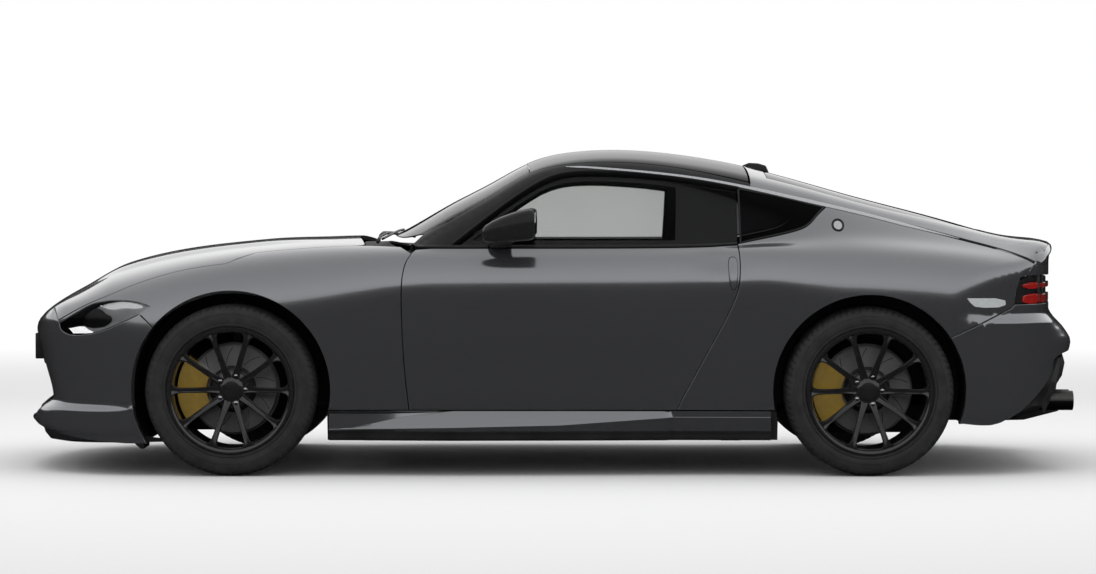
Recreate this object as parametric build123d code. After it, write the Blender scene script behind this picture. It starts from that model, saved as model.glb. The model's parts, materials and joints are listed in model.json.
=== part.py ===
"""Two-door sports coupe, built as separate panels, glass, cabin, running gear and wheels.

Frame: +X forward, +Y to the car's left, +Z up, origin on the ground under the middle of the car. Millimetres.
The outer skin is one lofted lower body and one lofted glasshouse. Each panel is cut out of the shell that
lies between the outer skin and the same skin set inwards by that panel's wall.
"""
import os
from math import cos, hypot, radians, sin

from build123d import *

# ---- driving sizes ----
length = 4380
wheelbase = 2550
front_overhang = 905
front_axle_x = length / 2 - front_overhang
rear_axle_x = front_axle_x - wheelbase

door_gap = 7        # running gap round each door
lid_gap = 6         # running gap round hood and hatch
seat_gap = 0.3      # working clearance at pins, bores and seats

hood_wall = 30
fender_wall = 14
quarter_wall = 46
bumper_wall = 30
roof_wall = 24
hatch_wall = 34
frame_wall = 40
glass_wall = 5

sill_bottom_z = 142
sill_inner_y = 620
floor_z = 150
floor_wall = 22

# ---- skin stations: x, centre crown z, shoulder y z, widest y z, sill y ----
body_stations = [
    (2190, 610, 610, 590, 850, 500, 850),
    (2050, 712, 660, 650, 868, 540, 862),
    (1850, 815, 690, 742, 884, 600, 872),
    (1600, 890, 715, 828, 900, 670, 880),
    (1285, 932, 735, 884, 908, 720, 882),
    (860, 954, 748, 912, 898, 752, 868),
    (450, 945, 752, 917, 880, 765, 858),
    (-100, 930, 757, 914, 872, 768, 854),
    (-600, 936, 757, 918, 880, 768, 862),
    (-950, 942, 742, 930, 904, 766, 876),
    (-1265, 946, 722, 934, 922, 760, 890),
    (-1650, 920, 690, 902, 904, 750, 876),
    (-1950, 884, 655, 866, 872, 735, 848),
    (-2190, 850, 620, 836, 830, 700, 805),
]
sill_z = 258
foot_in = 34          # how far the sill's foot is inboard of its top edge
jack_x, jack_y, jack_z = 720, 700, 132      # the four jacking pads' middles and underside

# ---- glasshouse stations: x, centre crown z, rail y z, foot y ----
glasshouse_foot_z = 800
glasshouse_stations = [
    (760, 908, 790, 820, 830),
    (585, 1000, 750, 896, 826),
    (400, 1102, 706, 1002, 822),
    (200, 1214, 655, 1120, 822),
    (60, 1284, 612, 1205, 822),
    (-80, 1310, 590, 1238, 824),
    (-250, 1316, 582, 1242, 826),
    (-500, 1300, 574, 1218, 826),
    (-800, 1250, 562, 1164, 818),
    (-1265, 1126, 540, 1060, 790),
    (-1700, 1006, 512, 962, 742),
    (-2010, 914, 490, 880, 700),
]

# ---- plan outline, left half: set back from the nose or tail, y ----
plan_nose = [(0, 0), (24, 300), (92, 580), (240, 762), (600, 950)]
plan_tail = [(0, 0), (32, 380), (92, 640), (210, 786), (600, 950)]
# the nose and tail seen from the side: level z, nose x, tail x
plan_levels = [
    (60, 2095, -2030),
    (190, 2190, -2070),
    (235, 2152, -2100),
    (300, 2116, -2140),
    (435, 2145, -2176),
    (520, 2162, -2190),
    (571, 2182, -2164),
    (645, 2190, -2102),
    (1150, 2190, -2096),
]

# ---- wheels ----
# name: x, side, half track, tyre radius, tyre width
front_tyre = dict(radius=343, width=255)
rear_tyre = dict(radius=338, width=275)
front_half_track = 777
rear_half_track = 775
rim_radius = 241
rim_wall = 9
hub_radius = 76
lug_circle = 114.3
spokes = 10
disc_radius = 176
disc_wall = 30
front_arch_radius = 396
rear_arch_radius = 383
front_liner_inner_y = 462
rear_liner_inner_y = 600
liner_wall = 8

steer_y = 712         # the front wheels' steering axis

# ---- doors ----
hinge_x = 500
hinge_y = 838
hinge_levels = (400, 680)
pin_radius = 6
door_skin = 26
door_inner_top_y = 702
door_inner_foot_y = 742
door_inset = 24
door_outline = [(573, sill_z + 8), (592, 420), (604, 620), (604, 780), (588, 868), (545, 925), (545, 990),
                (-748, 990), (-748, 925), (-752, 852), (-744, 745), (-698, 640), (-586, 437), (-508, 300),
                (-480, sill_z + 8)]
belt_z = 908
door_window = [(400, belt_z), (212, 1058), (120, 1124), (30, 1180), (-60, 1207), (-193, 1212), (-396, 1200),
               (-599, 1172), (-749, 1146), (-749, belt_z)]
quarter_window = [(-764, 930), (-764, 1143), (-900, 1108), (-1100, 1052), (-1085, 1025), (-1040, 998),
                  (-960, 970), (-880, 948)]

# ---- lids ----
hood_pin = (712, 868)       # x, z
strip_line = [(-60, 1224), (-193, 1232), (-396, 1217), (-599, 1190), (-800, 1150), (-1005, 1104),
              (-1265, 1046), (-1404, 1010), (-1606, 957), (-1800, 905), (-2010, 846)]

# ---- cabin ----
seat_y = 370
seat_width = 500
wheel_x, wheel_z = 235, 800
wheel_radius = 182
wheel_tilt = 24

LEFT, RIGHT = 1, -1
far = 1100
parts = {}


def side_prism(points, low_y, high_y):
    """A side-view outline (x, z) as a solid from low_y to high_y."""
    face = make_face(Polyline([(x, low_y, z) for x, z in points], close=True))
    return extrude(face, high_y - low_y, dir=(0, 1, 0))


def plan_prism(points, low_z, high_z, lean=0.0):
    """A plan outline (x, y) as a solid from low_z to high_z. lean moves it forward with height."""
    rise = high_z - low_z
    face = make_face(Polyline([(x, y, low_z) for x, y in points], close=True))
    return extrude(face, rise * hypot(1, lean), dir=(lean, 0, 1))


def front_prism(points, low_x, high_x):
    """A front-view outline (y, z) as a solid from low_x to high_x."""
    face = make_face(Polyline([(low_x, y, z) for y, z in points], close=True))
    return extrude(face, high_x - low_x, dir=(1, 0, 0))


def box(x, y, z):
    """A block from its three (low, high) ranges."""
    middle = [(a + b) / 2 for a, b in (x, y, z)]
    return Pos(*middle) * Box(*[b - a for a, b in (x, y, z)])


def rod_y(x, z, radius, low_y, high_y):
    """A round bar along Y."""
    return Pos(x, (low_y + high_y) / 2, z) * Rot(90, 0, 0) * Cylinder(radius, high_y - low_y)


def rod_z(x, y, radius, low_z, high_z):
    return Pos(x, y, (low_z + high_z) / 2) * Cylinder(radius, high_z - low_z)


def grown(points, gap):
    """An outline moved out by gap, or in if gap is negative."""
    face = make_face(Polyline([(x, y, 0) for x, y in points], close=True))
    moved = offset(face, gap, kind=Kind.INTERSECTION)
    return [tuple(edge @ 0)[:2] for edge in moved.faces()[0].outer_wire().order_edges()]


def bulged(a, b, share):
    """The middle of an arc from a to b that stands out from its chord by share of it."""
    return ((a[0] + b[0]) / 2 + (a[1] - b[1]) * share, (a[1] + b[1]) / 2 + (b[0] - a[0]) * share)


def section(x, half, top):
    """A closed section at x. half is its left side from the crown's edge down: ((y, z), arc share) each."""
    def at(point, side=LEFT):
        return (x, side * point[0], point[1])
    crown = Edge.make_three_point_arc(at(half[0][0], RIGHT), (x, 0, top), at(half[0][0]))
    lefts, rights = [], []
    for (a, share), (b, _) in zip(half, half[1:]):
        if share:
            middle = bulged(a, b, share)
            lefts.append(Edge.make_three_point_arc(at(a), at(middle), at(b)))
            rights.append(Edge.make_three_point_arc(at(b, RIGHT), at(middle, RIGHT), at(a, RIGHT)))
        else:
            lefts.append(Edge.make_line(at(a), at(b)))
            rights.append(Edge.make_line(at(b, RIGHT), at(a, RIGHT)))
    foot = half[-1][0]
    return Wire([crown, *lefts, Edge.make_line(at(foot), at(foot, RIGHT)), *rights[::-1]])


def lower_body(inset=0):
    """The skin below the glass, or the same set inwards and open below."""
    drop = 60 if inset else 0
    rings = []
    for x, crown_z, shoulder_y, shoulder_z, wide_y, wide_z, sill_y in body_stations:
        half = [((shoulder_y - 0.7 * inset, shoulder_z - 0.9 * inset), 0.14),
                ((wide_y - inset, wide_z - 0.2 * inset), 0.03),
                ((sill_y - inset, sill_z), 0),
                ((sill_y - foot_in - inset, sill_bottom_z - drop), 0)]
        rings.append(section(x, half, crown_z - inset))
    return Solid.make_loft(rings)


def glasshouse(inset=0):
    """The skin of the roof and windows, or the same set inwards."""
    drop = 60 if inset else 0
    rings = []
    for x, crown_z, rail_y, rail_z, foot_y in glasshouse_stations:
        half = [((rail_y - 0.8 * inset, rail_z - 0.8 * inset), 0.035),
                ((foot_y - inset, glasshouse_foot_z - drop), 0)]
        rings.append(section(x, half, crown_z - inset))
    return Solid.make_loft(rings)


def end_ring(z, tip, outline, way):
    """One level of the nose (way 1) or of the tail (way -1), closed across the middle of the car."""
    def at(point, side=LEFT):
        return (tip - way * point[0], side * point[1], z)
    lefts = [at(p) for p in outline]
    rights = [at(p, RIGHT) for p in outline]
    wide = outline[-1][1]
    edges = [Edge.make_three_point_arc(*rights[4:1:-1]), Edge.make_three_point_arc(*rights[2::-1]),
             Edge.make_three_point_arc(*lefts[:3]), Edge.make_three_point_arc(*lefts[2:]),
             Edge.make_line(lefts[4], (0, wide, z)), Edge.make_line((0, wide, z), (0, -wide, z)),
             Edge.make_line((0, -wide, z), rights[4])]
    return Wire(edges)


def nose_block(inset=0):
    return Solid.make_loft([end_ring(z, nose - inset, plan_nose, 1) for z, nose, _ in plan_levels], ruled=True)


def tail_block(inset=0):
    return Solid.make_loft([end_ring(z, tail + inset, plan_tail, -1) for z, _, tail in plan_levels], ruled=True)


def glazed(inset=0):
    return middle_skin(inset) + glasshouse(inset)


saved = {}


def once(make, inset):
    """A skin is lofted once for each inset."""
    key = (make.__name__, inset)
    if key not in saved:
        saved[key] = make(inset)
    return saved[key]


def middle_skin(inset=0):
    """The lower body between the nose and tail."""
    return once(lower_body, inset)


def nose_skin(inset=0):
    return once(nose_shape, inset)


def nose_shape(inset):
    return middle_skin(inset) & nose_block(inset)


def tail_skin(inset=0):
    return once(tail_shape, inset)


def tail_shape(inset):
    return middle_skin(inset) & tail_block(inset)


def glazed_skin(inset=0):
    """The middle of the body with the glasshouse."""
    return once(glazed, inset)


def glazed_tail(inset=0):
    return once(glazed_tail_shape, inset)


def glazed_tail_shape(inset):
    return tail_skin(inset) + (glasshouse(inset) & box((-3000, 0), (-far, far), (600, 1500)))


def panel(region, wall, skin=middle_skin, cuts=()):
    """The shell of one wall that lies in a region, less its cuts."""
    return (skin() & region) - [skin(wall), *cuts]


def keep(name, *shapes):
    """Files a node's solids under its name."""
    solids = [s for shape in shapes for s in shape.solids() if s.volume > 20]
    parts[name] = solids


def pair(shape):
    """A left piece and its twin on the right."""
    return [shape, mirror(shape, about=Plane.XZ)]


def joined(*shapes):
    """One solid from overlapping shapes."""
    whole = shapes[0]
    for shape in shapes[1:]:
        whole = whole + shape
    return whole


def side_ranges(low, high):
    """The same |y| range on the left and on the right."""
    return [(low, high), (-high, -low)]


# ======== regions: each panel's outline, seen from the side or from above ========
door_zone = side_prism(door_outline, 560, far)
door_space = side_prism(grown(door_outline, door_gap), 560, far)

hood_lean = 0.21
hood_low_z = 600
hood_top_z = 905
# The lean carries the outline forward with height: these points are where it meets the skin.
rear_lean = hood_lean * (hood_top_z - hood_low_z)
hood_half = [(2168, 0), (2156, 250), (2108, 470), (2040, 590), (1900, 640), (1285, 676), (800 - rear_lean, 688),
             (752 - rear_lean, 668), (812 - rear_lean, 0)]
hood_plan = hood_half + [(x, -y) for x, y in hood_half[-2:0:-1]]
hood_zone = plan_prism(hood_plan, hood_low_z, 1000, hood_lean)
hood_space = plan_prism(grown(hood_plan, lid_gap), hood_low_z, 1000, hood_lean)

lamp_outline = [(2010, 640), (1960, 690), (1880, 722), (1808, 738), (1700, 737), (1600, 724), (1640, 690), (1707, 655),
                (1800, 622), (1886, 602), (1960, 610)]
lamp_gap = 0.6
lamp_wall = 70
lamp_zone = side_prism(lamp_outline, 430, far)
lamp_space = side_prism(grown(lamp_outline, lamp_gap), 430, far)

bumper_front = [(1560, 0), (1588, 588), (1640, 690), (1808, 738), (1830, 1000), (2400, 1000), (2400, 0)]
bumper_rear = [(-1540, 0), (-1592, 556), (-1845, 672), (-1852, 684), (-2400, 684), (-2400, 0)]
tail_band = [(-1852, 684), (-1862, 738), (-1880, 790), (-2300, 790), (-2300, 684)]
diffuser_zone = [(-1700, 0), (-1770, 196), (-1930, 262), (-2030, 330), (-2110, 440), (-2300, 480), (-2300, 0)]

# hatch: seam with the roof round the hinge
seam_radius = 60
hatch_pin = (-748, 1212)
hatch_line = strip_line[4:]
hatch_side = [(-740, 1400), (-740, 1158), *[(x, z + 8) for x, z in hatch_line], (-2070, 796), (-2300, 796),
              (-2300, 1400)]
front_zone = (box((hatch_pin[0], 900), (-far, far), (100, 1500))
              + rod_y(*hatch_pin, seam_radius, -far, far)
              + box((hatch_pin[0] - seam_radius, hatch_pin[0] + 5), (-far, far), (100, hatch_pin[1])))
hatch_keepout = (box((hatch_pin[0], 900), (-far, far), (100, 1500))
                 + rod_y(*hatch_pin, seam_radius + lid_gap, -far, far)
                 + box((hatch_pin[0] - seam_radius - lid_gap, hatch_pin[0] + 5), (-far, far), (100, hatch_pin[1])))

screen_half = [(668, 0), (650, 300), (604, 520), (520, 668), (420, 668), (92, 556), (104, 300), (110, 0)]
screen_plan = screen_half + [(x, -y) for x, y in screen_half[-2:0:-1]]
glass_gap = 0.6
roof_half = [(110, 0), (104, 300), (92, 556), (-60, 552), (-500, 545), (-900, 530), (-900, 0)]
roof_plan = roof_half + [(x, -y) for x, y in roof_half[-2:0:-1]]
rear_glass_half = [(-885, 0), (-885, 430), (-1200, 445), (-1600, 420), (-1760, 380), (-1790, 200), (-1795, 0)]
rear_glass_plan = rear_glass_half + [(x, -y) for x, y in rear_glass_half[-2:0:-1]]

frame_side = [(740, 1000), (554, 936), (552, belt_z + 8), (408, belt_z + 8), (219, 1066), (125, 1132), (32, 1188), (-58, 1215), (-193, 1220), (-398, 1208),
              (-601, 1180), (-764, 1150), (-850, 1131), (-850, 1500), (740, 1500)]
quarter_side = [(-494, 258), (-900, 258), (-1400, 100), (-1540, 0), (-1592, 556), (-1845, 672), (-1852, 684),
                (-1862, 738), (-1880, 790), (-2300, 790), (-2300, 796), (-2070, 796), (-2010, 846),
                (-1800, 905), (-1606, 957), (-1404, 1010), (-1265, 1046), (-1005, 1104), (-850, 1139),
                (-850, 1131), (-764, 1150), (-764, 930)]


def arch(x, z, radius, inner_y):
    return rod_y(x, z, radius, inner_y, far)


front_hole = arch(front_axle_x, front_tyre["radius"], front_arch_radius, front_liner_inner_y)
rear_hole = arch(rear_axle_x, rear_tyre["radius"] + 2, rear_arch_radius, rear_liner_inner_y)

# ======== outer panels ========
hood = panel(hood_zone, hood_wall, nose_skin) - box((0, 3000), (-far, far), (0, 560))
hood_arm_y = (600, 612)
hood_ear_y = (586, 598)
hood_arm = [(706, 862), (714, 880), (772, 908), (806, 908), (806, 880), (720, 858)]
for low, high in side_ranges(*hood_arm_y):
    arm = side_prism(hood_arm, low, high) + rod_y(*hood_pin, 12, low, high)
    hood = hood + (arm - rod_y(*hood_pin, pin_radius + 0.06, low - 5, high + 5))
keep("hood", hood)


# the door's swept edge: level z, radius from the hinge
door_sweep_radii = [(sill_z, 77), (420, 101), (620, 117), (780, 116), (868, 90), (935, 62)]
sweep_points = [(0, door_sweep_radii[0][0])]
sweep_points += [(radius + door_gap, z) for z, radius in door_sweep_radii]
sweep_points += [(0, door_sweep_radii[-1][0])]
sweep_face = make_face(Polyline([(radius, 0, z) for radius, z in sweep_points], close=True))
door_sweep = Pos(hinge_x, hinge_y, 0) * revolve(sweep_face, Axis.Z)

fender_zone = side_prism([(554, sill_z), (554, 936), (740, 1000), (1700, 1000), (1830, 1000), (1808, 738),
                          (1640, 690), (1588, 588), (1560, 0), (1500, sill_z)], 430, far)
hood_swing = rod_y(*hood_pin, 97, 0, 694)
screen_space = plan_prism(grown(screen_plan, glass_gap), 700, 1500)
cowl_space = plan_prism([(560, 694), (756, 694), (824, 0), (756, -694), (560, -694)], 700, 1100)
fender = panel(fender_zone, fender_wall, nose_skin,
               [hood_space, hood_swing, door_space, door_sweep, front_hole, lamp_space, screen_space, cowl_space])
keep("front_fenders", *pair(fender))

# front bumper, its openings and the grille behind them
grille_opening = [(-500, 205), (-540, 300), (-470, 428), (470, 428), (540, 300), (500, 205)]
grille_cut = front_prism(grille_opening, 1950, 2300)
keep("front_bumper", panel(side_prism(bumper_front, -far, far), bumper_wall, nose_skin,
                           [hood_space, *pair(lamp_space), *pair(front_hole), grille_cut]))


grille_wall = 14
slat_pitch = 42
grille_zone = front_prism(grown(grille_opening, 20), 1850, 2300)
grille_windows = [box((1800, 2300), (column * 80 + 6, column * 80 + 74), (212 + row * slat_pitch,
                                                                          202 + (row + 1) * slat_pitch))
                  for row in range(5) for column in range(-6, 6)]
grille = (nose_skin(bumper_wall + seat_gap) & grille_zone) - [nose_skin(bumper_wall + grille_wall), *grille_windows]
plate_width = 360
plate_screws = 178
plate_screw_radius = 3
bracket = side_prism([(2145.7, 437), (2162.3, 520), (2172.1, 545), (2190, 545), (2190, 437)],
                     -plate_width / 2, plate_width / 2)
for side in (LEFT, RIGHT):
    screw_hole = Pos(2190, side * plate_screws / 2, 500) * Rot(0, 90, 0) * Cylinder(plate_screw_radius, 30)
    bracket = bracket - screw_hole
keep("front_grille", grille, bracket)

# rear bumper, lamp band and diffuser
diffuser_space = side_prism(diffuser_zone, -620, 620)
keep("rear_bumper", panel(side_prism(bumper_rear, -far, far), bumper_wall, tail_skin,
                          [diffuser_space, *pair(rear_hole)]))
diffuser = panel(diffuser_space, bumper_wall, tail_skin)
tip_y = 480
tip_z = 282
for low, high in side_ranges(tip_y - 105, tip_y + 105):
    diffuser = diffuser - box((-2400, -1940), (low, high), (tip_z - 46, tip_z + 46))
keep("rear_diffuser", diffuser)
band = panel(side_prism(tail_band, -far, far), bumper_wall, tail_skin)
lamp_in_y = 300
keep("tail_panel", band & box((-2400, 0), (-lamp_in_y, lamp_in_y), (0, 900)))
keep("tail_lamps", *[band & box((-2400, 0), sides, (0, 900)) for sides in side_ranges(lamp_in_y, far)])
keep("headlamps", *pair(panel(lamp_zone, lamp_wall, nose_skin, [hood_space])))

# sills
sill = (middle_skin() & box((-900, 900), (sill_inner_y, far), (0, sill_z))) - front_hole - rear_hole
sill = sill - box((-800, 800), (sill_inner_y + 18, 790), (sill_bottom_z + 18, sill_z - 18))
for x in (-jack_x, jack_x):
    sill = sill + box((x - 40, x + 40), (jack_y - 32, jack_y + 32), (jack_z, sill_bottom_z + 12))
keep("sills", *pair(sill))

# quarter panels
quarter_zone = side_prism(quarter_side, 300, far)
quarter_hole = side_prism(quarter_window, 300, far)
quarter = panel(quarter_zone, quarter_wall, glazed_tail, [door_space, rear_hole, quarter_hole])
keep("quarter_panels", *pair(quarter))

# roof, frames, fixed glass
roof_zone = plan_prism(roof_plan, 1000, 1500)
roof_space = plan_prism(grown(roof_plan, 0.6), 1000, 1500)
frames = panel(side_prism(frame_side, 300, far) & front_zone, frame_wall, glazed_skin,
               [screen_space, roof_space, hood_space])
keep("roof_frames", *pair(frames))
roof = panel(roof_zone & front_zone, roof_wall, glazed_skin)
ear_y = (124, 136)
neck_y = (138, 150)
for low, high in side_ranges(*ear_y):
    roof = roof + side_prism([(-736, 1212), (-736, 1240), (-760, 1240), (-760, 1212)], low, high)
    roof = roof + rod_y(*hatch_pin, 13, low, high)
for low, high in side_ranges(ear_y[0] + 4, neck_y[1] + 4):
    roof = roof + rod_y(*hatch_pin, pin_radius, low, high)
keep("roof_panel", roof)
screen = panel(plan_prism(screen_plan, 700, 1500), glass_wall, glazed_skin, [cowl_space])
quarter_light = panel(side_prism(grown(quarter_window, -glass_gap), 300, far), glass_wall, glazed_skin)
keep("fixed_glass", screen, *pair(quarter_light))

# hatch
rear_glass_space = plan_prism(grown(rear_glass_plan, glass_gap), 700, 1500)
hatch = panel(side_prism(hatch_side, -far, far), hatch_wall, glazed_tail, [hatch_keepout, rear_glass_space])
spoiler_side = [(-1860, 890), (-1907, 944), (-2077, 933), (-2111, 916), (-2103, 890), (-2010, 862)]
spoiler = side_prism(spoiler_side, -640, 640) & (Pos(-15, 0, 0) * tail_block()) & Pos(0, 0, 75) * lower_body()
hatch = hatch + spoiler
neck_side = [(-761, 1212), (-740, 1206), (-762, 1134), (-792, 1116), (-864, 1162), (-874, 1212),
             (-852, 1212), (-844, 1180), (-794, 1142), (-782, 1148)]
for low, high in side_ranges(*neck_y):
    neck = side_prism(neck_side, low, high) + rod_y(*hatch_pin, 13, low, high)
    hatch = hatch + (neck - rod_y(*hatch_pin, pin_radius + 0.06, low - 5, high + 5))
keep("hatch", hatch)
keep("hatch_glass", panel(plan_prism(rear_glass_plan, 700, 1500), glass_wall, glazed_tail))

# cowl and the structure ahead of the cabin
cowl_wall = 10
cowl_drop = 24
cowl_plan = [(590, 690), (736, 690), (798, 0), (736, -690), (590, -690)]
cowl = (lower_body(cowl_drop) & plan_prism(cowl_plan, 700, 1100)) - lower_body(cowl_drop + cowl_wall)
for low, high in side_ranges(hood_arm_y[0] - 7, hood_arm_y[1] + 7):
    cowl = cowl - box((694, 900), (low, high), (700, 1100))
keep("cowl_panel", cowl)

# ======== doors ========
door_shell = panel(door_zone & box((-far, far), (door_inner_top_y, far), (0, belt_z)), door_skin)
trim_face = front_prism([(door_inner_foot_y, 0), (door_inner_foot_y, sill_z), (door_inner_top_y, belt_z),
                         (far, belt_z), (far, 0)], -far, hinge_x - 18)
door_core = middle_skin(door_skin - 1) & side_prism(grown(door_outline, -door_inset), 560, far) & trim_face
door = door_shell + door_core
hinge_boss = 10
for level in hinge_levels:
    door = door - rod_z(hinge_x, hinge_y, 20, level - 34, level + 34)
for level in hinge_levels:
    lug = box((hinge_x - 60, hinge_x), (hinge_y - hinge_boss, hinge_y + hinge_boss), (level - 14, level + 14))
    lug = lug + rod_z(hinge_x, hinge_y, hinge_boss, level - 14, level + 14)
    door = door + lug - rod_z(hinge_x, hinge_y, pin_radius + 0.06, level - 14, level + 14)
keep("door_left", door)
keep("door_right", mirror(door, about=Plane.XZ))
door_glass = panel(side_prism(door_window, 300, far), glass_wall, glazed_skin)
keep("door_glass_left", door_glass)
keep("door_glass_right", mirror(door_glass, about=Plane.XZ))

# mirrors: a shell on a short foot that stands on the door's top
housing = plan_prism([(60, 860), (78, 990), (120, 1008), (215, 985), (262, 930), (262, 868), (200, 836), (90, 830)],
                     935, 1062)
housing = fillet(housing.edges(), 14)
foot = box((165, 250), (796, 850), (870, 975)) - lower_body(-seat_gap)
keep("mirror_left", housing + foot)
keep("mirror_right", mirror(housing + foot, about=Plane.XZ))

# ======== cabin and structure ========
tunnel_y = 140
tunnel_z = 330
floor_front = 690
floor_rear = -900
pan = box((floor_rear, floor_front), (-sill_inner_y, sill_inner_y), (floor_z, floor_z + floor_wall))
pan = pan + box((floor_rear, floor_front), (-tunnel_y, tunnel_y), (floor_z, tunnel_z))
pan = pan - box((floor_rear - 5, floor_front + 5), (-tunnel_y + 14, tunnel_y - 14), (0, tunnel_z - 14))
keep("floor_pan", pan)

bulkhead = box((floor_front, floor_front + 16), (-650, 650), (floor_z, 940)) & lower_body(cowl_drop + cowl_wall + 0.3)
bulkhead = bulkhead - box((600, 800), (-tunnel_y + 14, tunnel_y - 14), (0, tunnel_z - 14))
for low, high in side_ranges(sill_inner_y, 700):
    bulkhead = bulkhead - box((600, 800), (low, high), (0, sill_z))
structure = bulkhead
for low, high in side_ranges(hood_arm_y[0] - 6, hood_arm_y[1] + 6):
    structure = structure - box((600, 800), (low, high), (840, 1000))
for low, high in side_ranges(*hood_ear_y):
    structure = structure + box((700, 716), (low, high), (850, 878)) + rod_y(*hood_pin, 11, low, high)
for low, high in side_ranges(hood_ear_y[0], hood_arm_y[1] + 4):
    structure = structure + rod_y(*hood_pin, pin_radius, low, high)
rail_y_range = (330, 390)
rail_z_range = (420, 500)
front_frame_x = (1936, 1990)
for low, high in side_ranges(*rail_y_range):
    structure = structure + box((floor_front + 10, front_frame_x[1]), (low, high), rail_z_range)
structure = structure + (box(front_frame_x, (-430, 430), (200, 560)) - box((1900, 2100), (-320, 320), (240, 510)))
for low, high in side_ranges(640, 712):
    structure = structure + box((490, floor_front + 16), (low, high), (sill_z, 880))
arm_depth = 12
for level in hinge_levels:
    for low, high in side_ranges(700, hinge_y):
        for base in (level - 28, level + 16):
            structure = structure + box((hinge_x - 11, hinge_x + 11), (low, high), (base, base + arm_depth))
    for side in (LEFT, RIGHT):
        structure = structure + rod_z(hinge_x, side * hinge_y, pin_radius, level - 28, level + 28)
        structure = structure + rod_z(hinge_x, side * hinge_y, 11, level - 28, level - 16)
        structure = structure + rod_z(hinge_x, side * hinge_y, 11, level + 16, level + 28)
keep("front_structure", structure)

boot_z = 470
boot_rail_z = 418
boot = box((-2040, floor_rear), (-590, 590), (boot_z, boot_z + 16))
boot = boot + box((floor_rear - 16, floor_rear), (-590, 590), (floor_z, boot_z + 16))
boot = boot - box((-930, -880), (-tunnel_y + 14, tunnel_y - 14), (0, tunnel_z - 14))
for low, high in side_ranges(480, 540):
    boot = boot + box((-2056, floor_rear), (low, high), (boot_rail_z, boot_z))
keep("boot_floor", boot)

dash_side = [(floor_front, 560), (floor_front, 860), (600, 878), (480, 884), (380, 864), (330, 800), (360, 640),
             (460, 560)]
dash = side_prism(dash_side, -634, 634) + box((420, floor_front), (-tunnel_y, tunnel_y), (tunnel_z, 600))
column_radius = 18
column_aim = Pos(wheel_x, seat_y, wheel_z) * Rot(0, -(90 - wheel_tilt), 0)
dash = dash - column_aim * Pos(0, 0, -250) * Cylinder(column_radius + 0.06, 440)
keep("dashboard", dash)
wheel = Torus(wheel_radius, 15) + Pos(0, 0, -20) * Cylinder(58, 46)
for turn in (0, 180, 270):
    wheel = wheel + Rot(0, 0, turn) * Pos(105, 0, -8) * Box(170, 34, 12)
wheel = wheel + Pos(0, 0, -170) * Cylinder(column_radius, 300)
keep("steering_wheel", column_aim * wheel)

seat_half = seat_width / 2 - 20
seat_side = [(-20, 190), (-40, 330), (-60, 372), (-200, 372), (-470, 335), (-560, 620), (-650, 930), (-690, 1060),
             (-760, 1060), (-765, 1000), (-740, 880), (-640, 480), (-600, 190)]
seat = side_prism(seat_side, -seat_half, seat_half)
seat = seat - side_prism([(-400, 1200), (-900, 1200), (-900, 905), (-400, 905)], 130, 400)
seat = seat - side_prism([(-400, 1200), (-900, 1200), (-900, 905), (-400, 905)], -400, -130)
seat = seat + box((-520, -80), (-180, -150), (floor_z + floor_wall, 200))
seat = seat + box((-520, -80), (150, 180), (floor_z + floor_wall, 200))
keep("seats", *pair(Pos(0, seat_y, 0) * seat))

# ======== running gear ========
engine_x = (900, 1440)
engine = box(engine_x, (-300, 300), (250, 780))
for low, high in side_ranges(300, rail_y_range[0]):
    engine = engine + box((1120, 1200), (low, high), rail_z_range)
keep("engine", engine)


def liner(x, z, radius, inner_y):
    """A half-round inner guard over a wheel, out to the inside of the panels."""
    shell = rod_y(x, z, radius + liner_wall, inner_y, far) - rod_y(x, z, radius, inner_y - 5, far + 5)
    shell = shell & box((-3000, 3000), (0, far), (sill_z + 4, 1000))
    return shell


front_liner = liner(front_axle_x, front_tyre["radius"], front_arch_radius + 6, front_liner_inner_y)
front_liner = front_liner & nose_skin(bumper_wall + seat_gap)
rear_liner = liner(rear_axle_x, rear_tyre["radius"], rear_arch_radius + 6, rear_liner_inner_y)
rear_liner = rear_liner & glazed_tail(quarter_wall + seat_gap)
keep("wheel_liners", *pair(front_liner), *pair(rear_liner))

king_gap = 0.06
king_radius = 9
arm_levels = (222, 492)      # where the lower and the upper arm carry the steering pins
arm_end = 19                 # half width of an arm, and its rounded end's radius


front_sub = box((front_axle_x - 190, front_axle_x + 150), (-380, 380), (200, 240))
for low, high in side_ranges(340, 380):
    front_sub = front_sub + box((front_axle_x - 60, front_axle_x + 60), (low, high), (200, rail_z_range[0]))
low_arm, high_arm = arm_levels
links = box((front_axle_x - arm_end, front_axle_x + arm_end), (360, steer_y), (low_arm - 12, low_arm + 12))
links = links + box((front_axle_x - arm_end, front_axle_x + arm_end), (rail_y_range[1], steer_y),
                    (high_arm - 12, high_arm + 12))
for z in arm_levels:
    links = links + rod_z(front_axle_x, steer_y, arm_end, z - 12, z + 12)
links = links + rod_z(front_axle_x, steer_y, king_radius, low_arm - 12, low_arm + 42)
links = links + rod_z(front_axle_x, steer_y, king_radius, high_arm - 42, high_arm + 12)
links = links + rod_z(front_axle_x, 574, 30, low_arm, 690)
front_sub = joined(front_sub, *pair(links))
keep("front_suspension", front_sub)

# knuckles: post between the arms, lugs on the steering pins, stub axle out to the hub
stub_radius = 26
stub_gap = 0.06
disc_y = front_half_track - 26
rim_face_y = front_half_track + 43


caliper_in = 52


def stub(axle_z, post_y, end_y):
    return rod_y(0, axle_z, stub_radius, post_y, end_y)


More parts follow.
